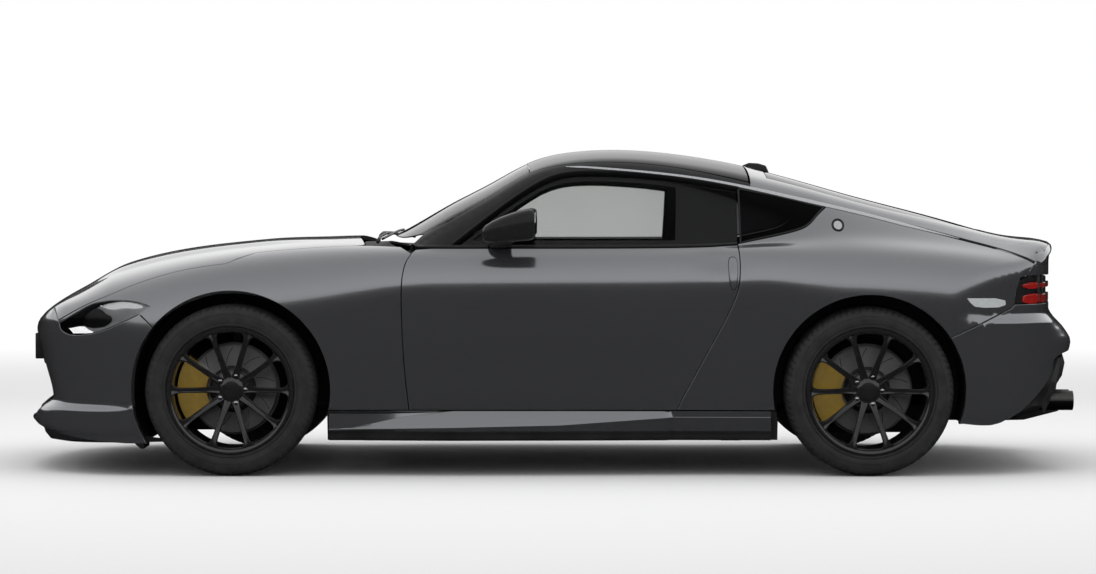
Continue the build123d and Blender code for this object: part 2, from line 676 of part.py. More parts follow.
def caliper(axle_z, disc_mid_y, disc_r):
    """A caliper ahead of the axle: a saddle over the disc's edge, on a bracket from the carrier."""
    saddle = rod_y(0, axle_z, disc_r + 44, disc_mid_y - caliper_in, disc_mid_y + 46)
    saddle = saddle - rod_y(0, axle_z, 104, disc_mid_y - 90, disc_mid_y + 90)
    slot = rod_y(0, axle_z, disc_r + 6, disc_mid_y - disc_wall / 2 - 6, disc_mid_y + disc_wall / 2 + 6)
    wedge = side_prism([(0, axle_z), (400, axle_z - 312), (400, axle_z + 312)], 0, far)
    window = side_prism([(disc_r - 8, axle_z - 46), (disc_r + 60, axle_z - 46), (disc_r + 60, axle_z + 46),
                         (disc_r - 8, axle_z + 46)], disc_mid_y - 24, disc_mid_y + 24)
    return (saddle & wedge) - slot - window


front_z = front_tyre["radius"]
post_y = (steer_y - 22, steer_y + 14)
knuckle = box((-30, 30), post_y, (arm_levels[0] + 16, arm_levels[1] - 16))
knuckle = knuckle + rod_z(0, steer_y, arm_end, arm_levels[0] + 16, arm_levels[0] + 60)
knuckle = knuckle + rod_z(0, steer_y, arm_end, arm_levels[1] - 60, arm_levels[1] - 16)
for z in (arm_levels[0] + 30, arm_levels[1] - 30):
    knuckle = knuckle - rod_z(0, steer_y, king_radius + king_gap, z - 16, z + 16)
knuckle = knuckle + stub(front_z, post_y[1] - 4, rim_face_y + 14)
knuckle = knuckle + box((20, 150), (disc_y - 82, disc_y - caliper_in), (front_z - 60, front_z + 60))
for name, side in (("left", LEFT), ("right", RIGHT)):
    placed = Pos(front_axle_x, 0, 0) * knuckle
    clamp = Pos(front_axle_x, 0, 0) * caliper(front_z, disc_y, disc_radius)
    if side == RIGHT:
        placed = mirror(placed, about=Plane.XZ)
        clamp = mirror(clamp, about=Plane.XZ)
    keep("knuckle_" + name, placed)
    keep("caliper_" + name, clamp)

# rear suspension: subframe, differential, half shafts, fixed arms and hub carriers
rear_z = rear_tyre["radius"]
rear_disc_y = rear_half_track - 26
rear_face_y = rear_half_track + 43
rear_sub = box((rear_axle_x - 150, rear_axle_x + 190), (-400, 400), (190, 226))
rear_sub = rear_sub + box((rear_axle_x - 110, rear_axle_x + 110), (-105, 105), (220, 412))
for low, high in side_ranges(500, 530):
    rear_sub = rear_sub + box((rear_axle_x + 120, rear_axle_x + 190), (low, high), (190, boot_rail_z))
rear_sub = rear_sub + box((rear_axle_x + 120, rear_axle_x + 190), (-530, 530), (190, 226))
carrier = box((-34, 34), (660, 704), (rear_z - 140, rear_z + 140)) + stub(rear_z, 700, rear_face_y + 14)
carrier = carrier + box((20, 150), (rear_disc_y - 82, rear_disc_y - caliper_in), (rear_z - 60, rear_z + 60))
carrier = carrier + rod_y(0, rear_z, 17, 95, 690)
for z in (rear_z - 118, rear_z + 62):
    carrier = carrier + box((-26, 26), (380, 690), (z - 11, z + 11))
carrier = carrier + box((-60, 60), (380, 400), (200, rear_z + 73))
rear_sub = joined(rear_sub, *pair(Pos(rear_axle_x, 0, 0) * carrier))
keep("rear_suspension", rear_sub)
keep("rear_calipers", *pair(Pos(rear_axle_x, 0, 0) * caliper(rear_z, rear_disc_y, disc_radius)))

# ======== wheels: drawn round the Y axis at the origin, outboard face at +Y ========


def turned(points):
    """A solid of revolution about Y from its (radius, y) outline."""
    return revolve(make_face(Polyline([(r, y, 0) for r, y in points], close=True)), Axis.Y)


def tyre_of(radius, width):
    half = width / 2
    seat = rim_radius + seat_gap
    return turned([(seat, -half + 16.6), (seat + 12.4, -half + 12.6), (seat + 18, -half + 8), (radius - 62, -half),
                   (radius - 22, -half + 8),
                   (radius - 7, -half + 24), (radius, -half + 44), (radius, half - 44), (radius - 7, half - 24),
                   (radius - 22, half - 8), (radius - 62, half), (seat + 18, half - 8),
                   (seat + 12.4, half - 12.6), (seat, half - 16.6), (seat + 9, half - 28), (seat + 9, -half + 28)])


def rim_of(width, face_y):
    half = width / 2
    barrel = turned([(rim_radius, -half + 16), (rim_radius + 12, -half + 12), (rim_radius + 12, -half + 6),
                     (rim_radius - rim_wall, -half + 6), (rim_radius - rim_wall, half - 4),
                     (rim_radius + 12, half - 4), (rim_radius + 12, half - 12), (rim_radius, half - 16)])
    hub = turned([(stub_radius + stub_gap, face_y - 18), (hub_radius, face_y - 18), (hub_radius, face_y + 6),
                  (44, face_y + 16), (stub_radius + stub_gap, face_y + 16)])
    whole = barrel + hub
    spoke_side = [(50, face_y - 10), (50, face_y + 14), (150, half - 26), (236, half - 8), (236, half - 50),
                  (150, half - 62), (hub_radius, face_y - 14)]
    blade = make_face(Polyline([(x, y, -11) for x, y in spoke_side], close=True))
    blade = extrude(blade, 22, dir=(0, 0, 1))
    for k in range(spokes):
        whole = whole + Rot(0, 360 / spokes * k, 0) * blade
    for k in range(5):
        turn = radians(72 * k + 36)
        whole = whole - rod_y(lug_circle / 2 * cos(turn), lug_circle / 2 * sin(turn), 8, face_y - 40, face_y + 40)
    return whole


def disc_of(mid_y, face_y):
    hat = turned([(stub_radius + stub_gap, face_y - 28), (hub_radius + 2, face_y - 28), (hub_radius + 2, mid_y + disc_wall / 2),
                  (disc_radius, mid_y + disc_wall / 2), (disc_radius, mid_y - disc_wall / 2),
                  (hub_radius - 8, mid_y - disc_wall / 2), (hub_radius - 8, face_y - 38),
                  (stub_radius + stub_gap, face_y - 38)])
    return hat


axles = {
    "front": dict(x=front_axle_x, tyre=front_tyre, track=front_half_track),
    "rear": dict(x=rear_axle_x, tyre=rear_tyre, track=rear_half_track),
}
for end, axle in axles.items():
    wheel_tyre = tyre_of(axle["tyre"]["radius"], axle["tyre"]["width"])
    wheel_rim = rim_of(axle["tyre"]["width"], 43)
    wheel_disc = disc_of(-26, 43 + 10)
    place = Pos(axle["x"], axle["track"], axle["tyre"]["radius"])
    for side in ("left", "right"):
        for piece, shape in (("tyre", wheel_tyre), ("rim", wheel_rim), ("disc", wheel_disc)):
            placed = place * shape
            if side == "right":
                placed = mirror(placed, about=Plane.XZ)
            keep(f"{piece}_{end}_{side}", placed)


# exhaust: two pipes along the tunnel, round the differential, to a silencer with two tips a side


def tube(points, radius):
    """A round pipe along straight runs."""
    whole = None
    for a, b in zip(points, points[1:]):
        run = Vector(*b) - Vector(*a)
        piece = extrude(Plane(origin=a, z_dir=run) * Circle(radius), run.length)
        whole = piece if whole is None else whole + piece
    for point in points[1:-1]:
        whole = whole + Pos(*point) * Sphere(radius)
    return whole


silencer_x = (-1900, -1620)
pipe_radius = 28
tip_radius = 40
exhaust = box(silencer_x, (-570, 570), (204, 346))
run = [(880, 46, 240), (-940, 46, 240), (-1090, 240, 270), (-1640, 240, 270)]
exhaust = joined(exhaust, *pair(tube(run, pipe_radius)))
for offset_y in (-50, 50):
    tip = rod_y(0, 0, tip_radius, -10, 230) - rod_y(0, 0, tip_radius - 4, 60, 240)
    tip = Pos(silencer_x[0], tip_y + offset_y, tip_z) * Rot(0, 0, 90) * tip
    exhaust = joined(exhaust, *pair(tip))
for low, high in side_ranges(500, 520):
    exhaust = exhaust + box((-1770, -1740), (low, high), (340, boot_rail_z))
keep("exhaust", exhaust)

os.makedirs("parts", exist_ok=True)
for name, solids in parts.items():
    export_step(Compound(children=solids) if len(solids) > 1 else solids[0], f"parts/{name}.step")
    print(name, len(solids), round(sum(s.volume for s in solids) / 1e6, 2))
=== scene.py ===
import bmesh, bpy, json, math, time
import numpy as np
from mathutils import Vector, Matrix
from mathutils.geometry import delaunay_2d_cdt

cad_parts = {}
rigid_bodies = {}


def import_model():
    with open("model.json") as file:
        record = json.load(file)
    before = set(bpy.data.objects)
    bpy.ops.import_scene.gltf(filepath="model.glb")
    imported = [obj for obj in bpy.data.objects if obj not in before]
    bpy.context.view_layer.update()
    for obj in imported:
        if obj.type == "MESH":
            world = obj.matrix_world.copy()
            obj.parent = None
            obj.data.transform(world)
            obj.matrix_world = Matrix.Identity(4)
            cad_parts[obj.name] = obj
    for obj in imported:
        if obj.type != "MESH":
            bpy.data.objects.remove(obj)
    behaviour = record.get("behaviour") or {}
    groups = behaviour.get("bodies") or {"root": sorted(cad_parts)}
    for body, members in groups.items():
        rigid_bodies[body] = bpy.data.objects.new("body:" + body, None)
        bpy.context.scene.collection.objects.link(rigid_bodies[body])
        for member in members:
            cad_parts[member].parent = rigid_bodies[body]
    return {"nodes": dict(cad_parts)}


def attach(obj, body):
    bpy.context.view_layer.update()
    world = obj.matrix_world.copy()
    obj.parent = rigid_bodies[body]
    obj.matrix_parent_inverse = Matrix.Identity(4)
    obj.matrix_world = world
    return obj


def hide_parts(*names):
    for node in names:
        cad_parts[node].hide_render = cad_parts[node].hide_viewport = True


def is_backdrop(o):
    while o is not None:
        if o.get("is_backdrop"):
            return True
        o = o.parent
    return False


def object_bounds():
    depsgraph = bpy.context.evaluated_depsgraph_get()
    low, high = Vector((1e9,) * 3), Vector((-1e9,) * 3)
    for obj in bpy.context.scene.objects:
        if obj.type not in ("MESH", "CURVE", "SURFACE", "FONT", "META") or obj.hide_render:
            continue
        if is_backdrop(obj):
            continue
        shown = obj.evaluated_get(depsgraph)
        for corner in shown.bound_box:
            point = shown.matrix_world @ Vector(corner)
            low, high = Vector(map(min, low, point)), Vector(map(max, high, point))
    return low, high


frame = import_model()
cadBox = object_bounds()
startTime = time.time()
nodes = frame["nodes"]


def say(stage):
    print(f"scene: {stage} at {time.time() - startTime:.1f} s", flush=True)


# a level camera on the car's left side, far enough off to keep the lines straight
view = {"distance": 13.7, "along": 0.018, "height": 1.08, "pitch": -1.45, "lens": 105.7}
cameraData = bpy.data.cameras.new("camera")
cameraData.lens = view["lens"]
cameraData.sensor_width = 36
cameraData.clip_end = 2000
camera = bpy.data.objects.new("camera", cameraData)
bpy.context.scene.collection.objects.link(camera)
camera.location = (view["along"], view["distance"], view["height"])
camera.rotation_euler = (math.radians(90 + view["pitch"]), 0, math.radians(180))
bpy.context.scene.camera = camera


class Sock:
    def __init__(self, tree, socket):
        self.tree = tree
        self.socket = socket

    def math(self, kind, other=None, clamp=False):
        node = self.tree.tree.nodes.new("ShaderNodeMath")
        node.operation = kind
        node.use_clamp = clamp
        for k, value in enumerate((self, other)):
            if value is not None:
                self.tree.feed(node.inputs[k], value)
        return Sock(self.tree, node.outputs[0])

    def __add__(self, o): return self.math("ADD", o)
    def __sub__(self, o): return self.math("SUBTRACT", o)
    def __rsub__(self, o): return Sock(self.tree, self.tree.number(o)).math("SUBTRACT", self)
    def __mul__(self, o): return self.math("MULTIPLY", o)
    def __truediv__(self, o): return self.math("DIVIDE", o)
    def __pow__(self, o): return self.math("POWER", o)
    def __gt__(self, o): return self.math("GREATER_THAN", o)
    def __lt__(self, o): return self.math("LESS_THAN", o)
    def size(self): return self.math("ABSOLUTE")
    def clamped(self): return self.math("ADD", 0.0, clamp=True)
    def ramp(self, low, high): return ((self - low) / (high - low)).clamped()


class Material:
    def __init__(self, name, world=None):
        self.data = world or bpy.data.materials.new(name)
        self.data.use_nodes = True
        self.tree = self.data.node_tree
        self.tree.nodes.clear()
        self.output = self.tree.nodes.new("ShaderNodeOutputWorld" if world else "ShaderNodeOutputMaterial")

    def feed(self, socket, value):
        if isinstance(value, Sock):
            self.tree.links.new(value.socket, socket)
            return
        if hasattr(socket.default_value, "__len__"):
            if not hasattr(value, "__len__"):
                value = (value,) * 3
            if len(socket.default_value) == 4 and len(value) == 3:
                value = (*value, 1.0)
        socket.default_value = value

    def add(self, kind, settings=None, inputs=None, output=0):
        node = self.tree.nodes.new(kind)
        for key, value in (settings or {}).items():
            setattr(node, key, value)
        for key, value in (inputs or {}).items():
            self.feed(node.inputs[key], value)
        return Sock(self, node.outputs[output])

    def number(self, value):
        node = self.tree.nodes.new("ShaderNodeValue")
        node.outputs[0].default_value = value
        return node.outputs[0]

    def place(self):
        return self.add("ShaderNodeTexCoord", output="Object")

    def axis(self, name):
        return self.add("ShaderNodeSeparateXYZ", inputs={0: self.place()}, output=name)

    def stretched(self, factors):
        return self.add("ShaderNodeVectorMath", {"operation": "MULTIPLY"}, {0: self.place(), 1: factors})

    def noise(self, scale, detail=2.0, rough=0.5, vector=None):
        return self.add("ShaderNodeTexNoise", inputs={"Vector": vector or self.place(), "Scale": scale,
            "Detail": detail, "Roughness": rough})

    def rayKinds(self):
        kinds = ("Is Camera Ray", "Is Glossy Ray", "Is Transmission Ray")
        return [self.add("ShaderNodeLightPath", output=key) for key in kinds]

    def mix(self, share, a, b):
        return self.add("ShaderNodeMix", {"data_type": "RGBA"}, {0: share, 6: a, 7: b}, output=2)

    def bump(self, height, strength, distance=0.001):
        return self.add("ShaderNodeBump", inputs={"Height": height, "Strength": strength, "Distance": distance})

    def surface(self, constants, varying=None):
        return self.add("ShaderNodeBsdfPrincipled", inputs={**constants, **(varying or {})})

    def finish(self, shader):
        self.tree.links.new(shader.socket, self.output.inputs["Surface"])
        return self.data


# the body's skin is the zero level of one smooth field, in metres, negative inside
def throughPoints(xs, ys):
    order = np.argsort(xs)
    x, y = np.array(xs, float)[order], np.array(ys, float)[order]
    step = np.diff(x)
    last = len(x) - 1
    matrix, right = np.eye(len(x)), np.zeros(len(x))
    for i in range(1, last):
        matrix[i, i - 1:i + 2] = step[i - 1], 2 * (step[i - 1] + step[i]), step[i]
        right[i] = 6 * ((y[i + 1] - y[i]) / step[i] - (y[i] - y[i - 1]) / step[i - 1])
    bend = np.linalg.solve(matrix, right)

    def at(t):
        t = np.clip(t, x[0], x[-1])
        i = np.clip(np.searchsorted(x, t) - 1, 0, last - 1)
        h = step[i]
        a, b = (x[i + 1] - t) / h, (t - x[i]) / h
        return a * y[i] + b * y[i + 1] + ((a ** 3 - a) * bend[i] + (b ** 3 - b) * bend[i + 1]) * h * h / 6
    return at


def easedSteps(xs, ys):
    # goes through the points without overshooting them
    order = np.argsort(xs)
    x, y = np.array(xs, float)[order], np.array(ys, float)[order]
    h, d = np.diff(x), np.diff(y) / np.diff(x)
    slope = np.zeros(len(x))
    for i in range(1, len(x) - 1):
        if d[i - 1] * d[i] > 0:
            a, b = 2 * h[i] + h[i - 1], h[i] + 2 * h[i - 1]
            slope[i] = (a + b) / (a / d[i - 1] + b / d[i])
    slope[0], slope[-1] = d[0], d[-1]

    def at(t):
        t = np.clip(t, x[0], x[-1])
        i = np.clip(np.searchsorted(x, t) - 1, 0, len(x) - 2)
        s = (t - x[i]) / h[i]
        return ((1 + 2 * s) * (1 - s) ** 2 * y[i] + s * (1 - s) ** 2 * h[i] * slope[i] + s * s * (3 - 2 * s)
            * y[i + 1] + s * s * (s - 1) * h[i] * slope[i + 1])
    return at


def softMax(a, b, width):
    h = np.maximum(width - np.abs(a - b), 0) / width
    return np.maximum(a, b) + h ** 3 * width / 6


def softMin(a, b, width):
    return -softMax(-a, -b, width)


def fade(t, low, high):
    s = np.clip((t - low) / (high - low), 0, 1)
    return s * s * (3 - 2 * s)


def hump(t, middle, half):
    return np.exp(-((t - middle) / half) ** 2)


# x, centre crown, crown's drop at 0.75 out, widest y, its z, sill y
bodyStations = np.array([(2.19, 0.605, 0.04, 0.85, 0.5, 0.85), (2.05, 0.715, 0.06, 0.868, 0.54, 0.862),
    (1.85, 0.812, 0.074, 0.886, 0.59, 0.872), (1.6, 0.88, 0.066, 0.903, 0.64, 0.882),
    (1.285, 0.922, 0.044, 0.911, 0.69, 0.884), (0.86, 0.952, 0.04, 0.898, 0.74, 0.868),
    (0.45, 0.95, 0.034, 0.882, 0.768, 0.858), (-0.1, 0.942, 0.024, 0.875, 0.772, 0.854),
    (-0.6, 0.944, 0.02, 0.882, 0.772, 0.862), (-0.95, 0.95, 0.016, 0.903, 0.775, 0.876),
    (-1.265, 0.952, 0.02, 0.92, 0.776, 0.89), (-1.65, 0.926, 0.026, 0.905, 0.76, 0.876),
    (-1.95, 0.886, 0.03, 0.874, 0.735, 0.852), (-2.19, 0.85, 0.034, 0.832, 0.7, 0.815)])
crownAt, dropAt, wideAt, wideZAt, sillAt = (throughPoints(bodyStations[:, 0], bodyStations[:, k])
    for k in range(1, 6))
sillTop, seatLine = 0.262, 0.8
form = {"flank": 0.75, "hollow": 0.006, "scoop": 0.016, "crease": 0.009, "noseDip": 0.022, "wallSwell": 0.08,
    "roofFall": 2.0, "roofRound": 0.8, "shoulder": 0.22, "frontShoulder": 0.11, "rearShoulder": 0.08,
    "railRound": 0.1, "waist": 0.03, "rearWaist": 0.13, "noseRound": 0.1, "tailRound": 0.05, "endSlope": 0.85}
cornerFade = (0.46, 0.76)

# x, centre crown, rail y, rail z, foot y at 0.8 up
glassStations = np.array([(0.9, 0.87, 0.8, 0.78, 0.832), (0.628, 0.976, 0.762, 0.872, 0.828),
    (0.435, 1.086, 0.716, 0.985, 0.822), (0.265, 1.174, 0.676, 1.08, 0.82), (0.08, 1.27, 0.624, 1.19, 0.82),
    (-0.076, 1.306, 0.598, 1.232, 0.822), (-0.289, 1.316, 0.588, 1.24, 0.824), (-0.544, 1.295, 0.58, 1.214, 0.826),
    (-0.8, 1.25, 0.568, 1.166, 0.82), (-1.055, 1.184, 0.556, 1.112, 0.804), (-1.268, 1.124, 0.544, 1.06, 0.782),
    (-1.694, 1.008, 0.53, 0.964, 0.74), (-1.9, 0.95, 0.56, 0.925, 0.722), (-2.0, 0.94, 0.59, 0.92, 0.716),
    (-2.09, 0.934, 0.59, 0.918, 0.706)])
roofAt, railAt, railZAt, footAt = (throughPoints(glassStations[:, 0], glassStations[:, k]) for k in range(1, 5))

# how far the outline in plan is set back from the nose or the tail, by y
noseBack = throughPoints([0, 0.16, 0.3, 0.45, 0.58, 0.68, 0.762, 0.84, 0.9, 0.95, 1.1],
    [0, 0.006, 0.024, 0.052, 0.092, 0.148, 0.23, 0.35, 0.48, 0.6, 1.0])
tailBack = throughPoints([0, 0.2, 0.38, 0.52, 0.64, 0.72, 0.786, 0.85, 0.905, 0.95, 1.1],
    [0, 0.008, 0.03, 0.056, 0.094, 0.142, 0.208, 0.312, 0.45, 0.6, 1.0])
noseAt = easedSteps([0.06, 0.111, 0.16, 0.186, 0.209, 0.238, 0.264, 0.3, 0.435, 0.52, 0.571, 0.61, 0.66, 1.2],
    [2.085, 2.1, 2.138, 2.176, 2.19, 2.184, 2.158, 2.118, 2.142, 2.158, 2.174, 2.18, 2.18, 2.18])
tailAt = easedSteps([0.06, 0.19, 0.231, 0.316, 0.38, 0.465, 0.52, 0.571, 0.635, 0.656, 0.848, 0.89, 0.916, 0.94,
    1.2], [2.012, 2.04, 2.104, 2.132, 2.146, 2.163, 2.176, 2.15, 2.094, 2.084, 2.084, 2.088, 2.095, 2.069, 2.03])


def bodyField(p):
    x, y, z = p[:, 0], np.abs(p[:, 1]), p[:, 2]
    wide, wideZ = wideAt(x), wideZAt(x)
    low = np.clip((wideZ - z) / (wideZ - sillTop), 0, 1.3)
    high = np.maximum(z - wideZ, 0)
    side = wide - (wide - sillAt(x)) * low ** 1.8 - form["flank"] * high ** 2
    side = side - form["hollow"] * hump(z, 0.4, 0.1) * fade(x, -0.75, -0.3) * fade(-x, -0.95, -0.6)
    # the scoop behind the door's handle
    side = side - form["scoop"] * hump(z - 0.86 - 0.1 * (x + 0.68), 0, 0.035) * hump(x, -0.66, 0.075)
    crown = crownAt(x) - dropAt(x) * (y / 0.75) ** 2
    crown = crown + form["crease"] * fade(-y, -0.5, -0.36) * fade(x, 0.9, 1.2) * fade(-x, -2.05, -1.7)
    crown = crown - form["noseDip"] * fade(x, 1.78, 1.97)
    shoulder = form["shoulder"] + form["frontShoulder"] * fade(x, 0.5, 1.1)
    shoulder = shoulder + form["rearShoulder"] * fade(-x, 0.8, 1.2)
    lower = softMax(y - side, z - crown, shoulder)
    rail, railZ, foot = railAt(x), railZAt(x), footAt(x)
    rise = np.clip((z - seatLine) / np.maximum(railZ - seatLine, 0.05), 0, 1.3)
    share = np.clip(rise, 0, 1)
    wall = foot + (rail - foot) * rise + form["wallSwell"] * share * (1 - share)
    roof = roofAt(x) - form["roofFall"] * np.maximum(x - 0.86, 0)
    roof = roof - (roof - railZ) * (y / rail) ** 2 * form["roofRound"]
    upper = softMax((y - wall - 0.006) * 0.9, z - roof, form["railRound"])
    whole = softMin(lower, upper, form["waist"] + form["rearWaist"] * fade(-x, 0.8, 1.25))
    # the lip and the tail's shelf die out towards the corners
    corner = fade(y, *cornerFade)
    noseX = noseAt(z) + (np.clip(noseAt(z), 2.13, 2.16) - noseAt(z)) * corner * 0.85
    tailX = tailAt(z) + (np.clip(tailAt(z), 2.088, 2.116) - tailAt(z)) * corner
    nose = (x - noseX + noseBack(y)) * form["endSlope"]
    tail = (-x - tailX + tailBack(y)) * form["endSlope"]
    return softMax(softMax(whole, nose, form["noseRound"]), tail, form["tailRound"])


def unit(v):
    return v / np.maximum(np.linalg.norm(v, axis=1, keepdims=True), 1e-9)


def fieldNormal(p):
    grad, step = np.zeros_like(p), 0.0008
    for k in range(3):
        ahead, back = p.copy(), p.copy()
        ahead[:, k] += step
        back[:, k] -= step
        grad[:, k] = bodyField(ahead) - bodyField(back)
    return unit(grad)


def castIn(starts, ways, reach, inset):
    # the first place where each ray meets the skin, or the level that lies inset inside it
    count, steps, halvings = len(starts), 44, 16
    near, far = np.zeros(count), np.full(count, np.nan)
    found = np.zeros(count, bool)
    for k in range(1, steps + 1):
        t = reach * k / steps
        open_ = ~found
        if not open_.any():
            break
        inside = bodyField(starts[open_] + ways[open_] * t) < -inset
        index = np.where(open_)[0]
        far[index[inside]] = t
        found[index[inside]] = True
        near[index[~inside]] = t
    low, high = near.copy(), np.where(found, far, reach)
    for _ in range(halvings):
        middle = (low + high) / 2
        inside = bodyField(starts + ways * middle[:, None]) < -inset
        high = np.where(inside, middle, high)
        low = np.where(inside, low, middle)
    hit = starts + ways * ((low + high) / 2)[:, None]
    hit[~found] = np.nan
    return hit


# how far off each chart's rays start, and how far they reach
rayTable = {"side": (1.2, 1.15), "top": (1.6, 1.5), "front": (2.6, 1.8), "rear": (2.6, 1.8), "round": (1.1, 1.05),
    "post": (1.25, 1.15)}


# each chart lays the skin flat in two coordinates and finds it again along rays
class Chart:
    def __init__(self, kind, axis=(0.42, 0.45), scale=0.55):
        self.kind, self.axis, self.scale = kind, axis, scale

    def rays(self, uv):
        u, v = uv[:, 0], uv[:, 1]
        flat = np.zeros_like(u)
        off, reach = rayTable[self.kind]
        if self.kind == "side":
            return np.c_[u, flat + off, v], np.tile((0.0, -1.0, 0.0), (len(u), 1)), reach
        if self.kind == "top":
            return np.c_[u, v, flat + off], np.tile((0.0, 0.0, -1.0), (len(u), 1)), reach
        if self.kind in ("front", "rear"):
            sign = 1.0 if self.kind == "front" else -1.0
            return np.c_[flat + off * sign, u, v], np.tile((-sign, 0.0, 0.0), (len(u), 1)), reach
        if self.kind == "round":
            turn = v / self.scale
            way = np.c_[flat, np.cos(turn), np.sin(turn)]
            middle = np.c_[u, flat + self.axis[0], flat + self.axis[1]]
            return middle + way * off, -way, reach
        turn = u / self.scale
        way = np.c_[np.cos(turn), np.sin(turn), flat]
        middle = np.c_[flat + self.axis[0], flat, v]
        return middle + way * off, -way, reach

    def find(self, uv, inset=0.0):
        starts, ways, reach = self.rays(uv)
        return castIn(starts, ways, reach, inset)

    def flat(self, p):
        if self.kind == "side":
            return p[:, [0, 2]]
        if self.kind == "top":
            return p[:, [0, 1]]
        if self.kind in ("front", "rear"):
            return p[:, [1, 2]]
        if self.kind == "round":
            turn = np.arctan2(p[:, 2] - self.axis[1], p[:, 1] - self.axis[0])
            return np.c_[p[:, 0], turn * self.scale]
        turn = np.arctan2(p[:, 1], p[:, 0] - self.axis[0])
        if self.axis[0] < 0:
            turn = np.mod(turn, 2 * math.pi)
        return np.c_[turn * self.scale, p[:, 2]]


sideChart, topChart, roundChart, frontChart, rearChart = (Chart(k)
    for k in ("side", "top", "round", "front", "rear"))
noseChart, tailChart = Chart("post", (1.3, 0.0), 0.85), Chart("post", (-1.3, 0.0), 0.85)


def sideY(x, z):
    return sideChart.find(np.array([[x, z]]))[0, 1]


def topZ(x, y):
    return topChart.find(np.array([[x, y]]))[0, 2]


def circle(count):
    return [(math.cos(2 * math.pi * k / count), math.sin(2 * math.pi * k / count)) for k in range(count)]


def squircle(count, powerA, powerB):
    # a circle whose corners are pushed out; powers below one make it squarer
    return [(np.sign(c) * abs(c) ** powerA, np.sign(s) * abs(s) ** powerB) for c, s in circle(count)]


def resample(points, spacing, smooth=0):
    p = np.array(points, float)
    for _ in range(smooth):
        a = p[:-1] * 0.75 + p[1:] * 0.25
        b = p[:-1] * 0.25 + p[1:] * 0.75
        p = np.vstack([p[:1], np.stack([a, b], 1).reshape(-1, p.shape[1]), p[-1:]])
    run = np.r_[0, np.cumsum(np.linalg.norm(np.diff(p, axis=0), axis=1))]
    count = max(2, int(run[-1] / spacing) + 1)
    t = np.linspace(0, run[-1], count)
    return np.c_[tuple(np.interp(t, run, p[:, k]) for k in range(p.shape[1]))]


def traced(runs, spacing=0.009):
    # runs: (chart, points, smoothing) each; gives the outline's places on the skin
    found = []
    for chart, points, smooth in runs:
        p = chart.find(resample(points, spacing, smooth))
        found.append(p[~np.isnan(p[:, 0])])
    whole = np.vstack(found)
    closest = spacing * 0.35
    whole = whole[np.r_[True, np.linalg.norm(np.diff(whole, axis=0), axis=1) > closest]]
    return whole[:-1] if np.linalg.norm(whole[0] - whole[-1]) < closest else whole


def mirrored(p):
    return p * np.array((1.0, -1.0, 1.0))


def bothSides(half):
    # an outline given for the left half, from the middle plane back to it
    return np.vstack([half, mirrored(half[::-1])[1:-1]])


def insidePolygon(points, loop):
    x, y = points[:, 0], points[:, 1]
    ax, ay = loop[:, 0], loop[:, 1]
    bx, by = np.roll(ax, -1), np.roll(ay, -1)
    odd = np.zeros(len(points), bool)
    for k in range(len(loop)):
        cross = (ay[k] > y) != (by[k] > y)
        if cross.any():
            at = ax[k] + (y - ay[k]) * (bx[k] - ax[k]) / (by[k] - ay[k] if by[k] != ay[k] else 1e-12)
            odd ^= cross & (x < at)
    return odd


def loopFrame(loop, chart):
    # the skin's normal and the outward way along an outline
    normal = fieldNormal(loop)
    along = unit(np.roll(loop, -1, axis=0) - np.roll(loop, 1, axis=0))
    out = unit(np.cross(along, normal))
    flat = chart.flat(loop)
    probe = chart.flat(loop + out * 0.002)
    inside = insidePolygon(probe, flat).mean() > 0.5
    return normal, (-out if inside else out)


def meshObject(name, points, faces, material=None, normals=None, smooth=True):
    mesh = bpy.data.meshes.new(name)
    mesh.from_pydata([tuple(map(float, p)) for p in points], [], [tuple(map(int, f)) for f in faces])
    mesh.update()
    if smooth:
        mesh.shade_smooth()
    piece = bpy.data.objects.new(name, mesh)
    bpy.context.scene.collection.objects.link(piece)
    if material:
        mesh.materials.append(material)
    if normals is not None:
        mesh.normals_split_custom_set(normals)
    return piece


def insideSheet(points, flats):
    # inside the outline and outside its holes
    good = insidePolygon(points, flats[0])
    for flat in flats[1:]:
        good &= ~insidePolygon(points, flat)
    return good


def gridInside(flats, spacing):
    # staggered points inside the sheet that keep clear of its edges
    low, high = flats[0].min(0), flats[0].max(0)
    grid, rowShare, batch = [], 0.866, 2000
    for r in range(int((high[1] - low[1]) / (spacing * rowShare)) + 2):
        u = np.arange(low[0] + (r % 2) * spacing / 2, high[0], spacing)
        grid.append(np.c_[u, np.full(len(u), low[1] + r * spacing * rowShare)])
    grid = np.vstack(grid)
    grid = grid[insideSheet(grid, flats)]
    edge = np.vstack(flats)
    clear = np.ones(len(grid), bool)
    for start in range(0, len(grid), batch):
        part = grid[start:start + batch]
        gapTo = np.min(np.hypot(part[:, None, 0] - edge[None, :, 0], part[:, None, 1] - edge[None, :, 1]), axis=1)
        clear[start:start + batch] = gapTo > spacing * 0.5
    return grid[clear]


def triangulated(flats, grid):
    # flat triangles over the sheet, and which given point each of their corners was
    edges, start = [], 0
    for flat in flats:
        n = len(flat)
        edges += [(start + i, start + (i + 1) % n) for i in range(n)]
        start += n
    result = delaunay_2d_cdt([Vector(q) for q in np.vstack([*flats, grid])], edges, [], 0, 1e-7)
    corners = np.array([tuple(q) for q in result[0]])
    origin = np.array([o[0] if o else -1 for o in result[3]])
    tris = np.array(result[2])
    return corners, origin, tris[insideSheet(corners[tris].mean(axis=1), flats)]


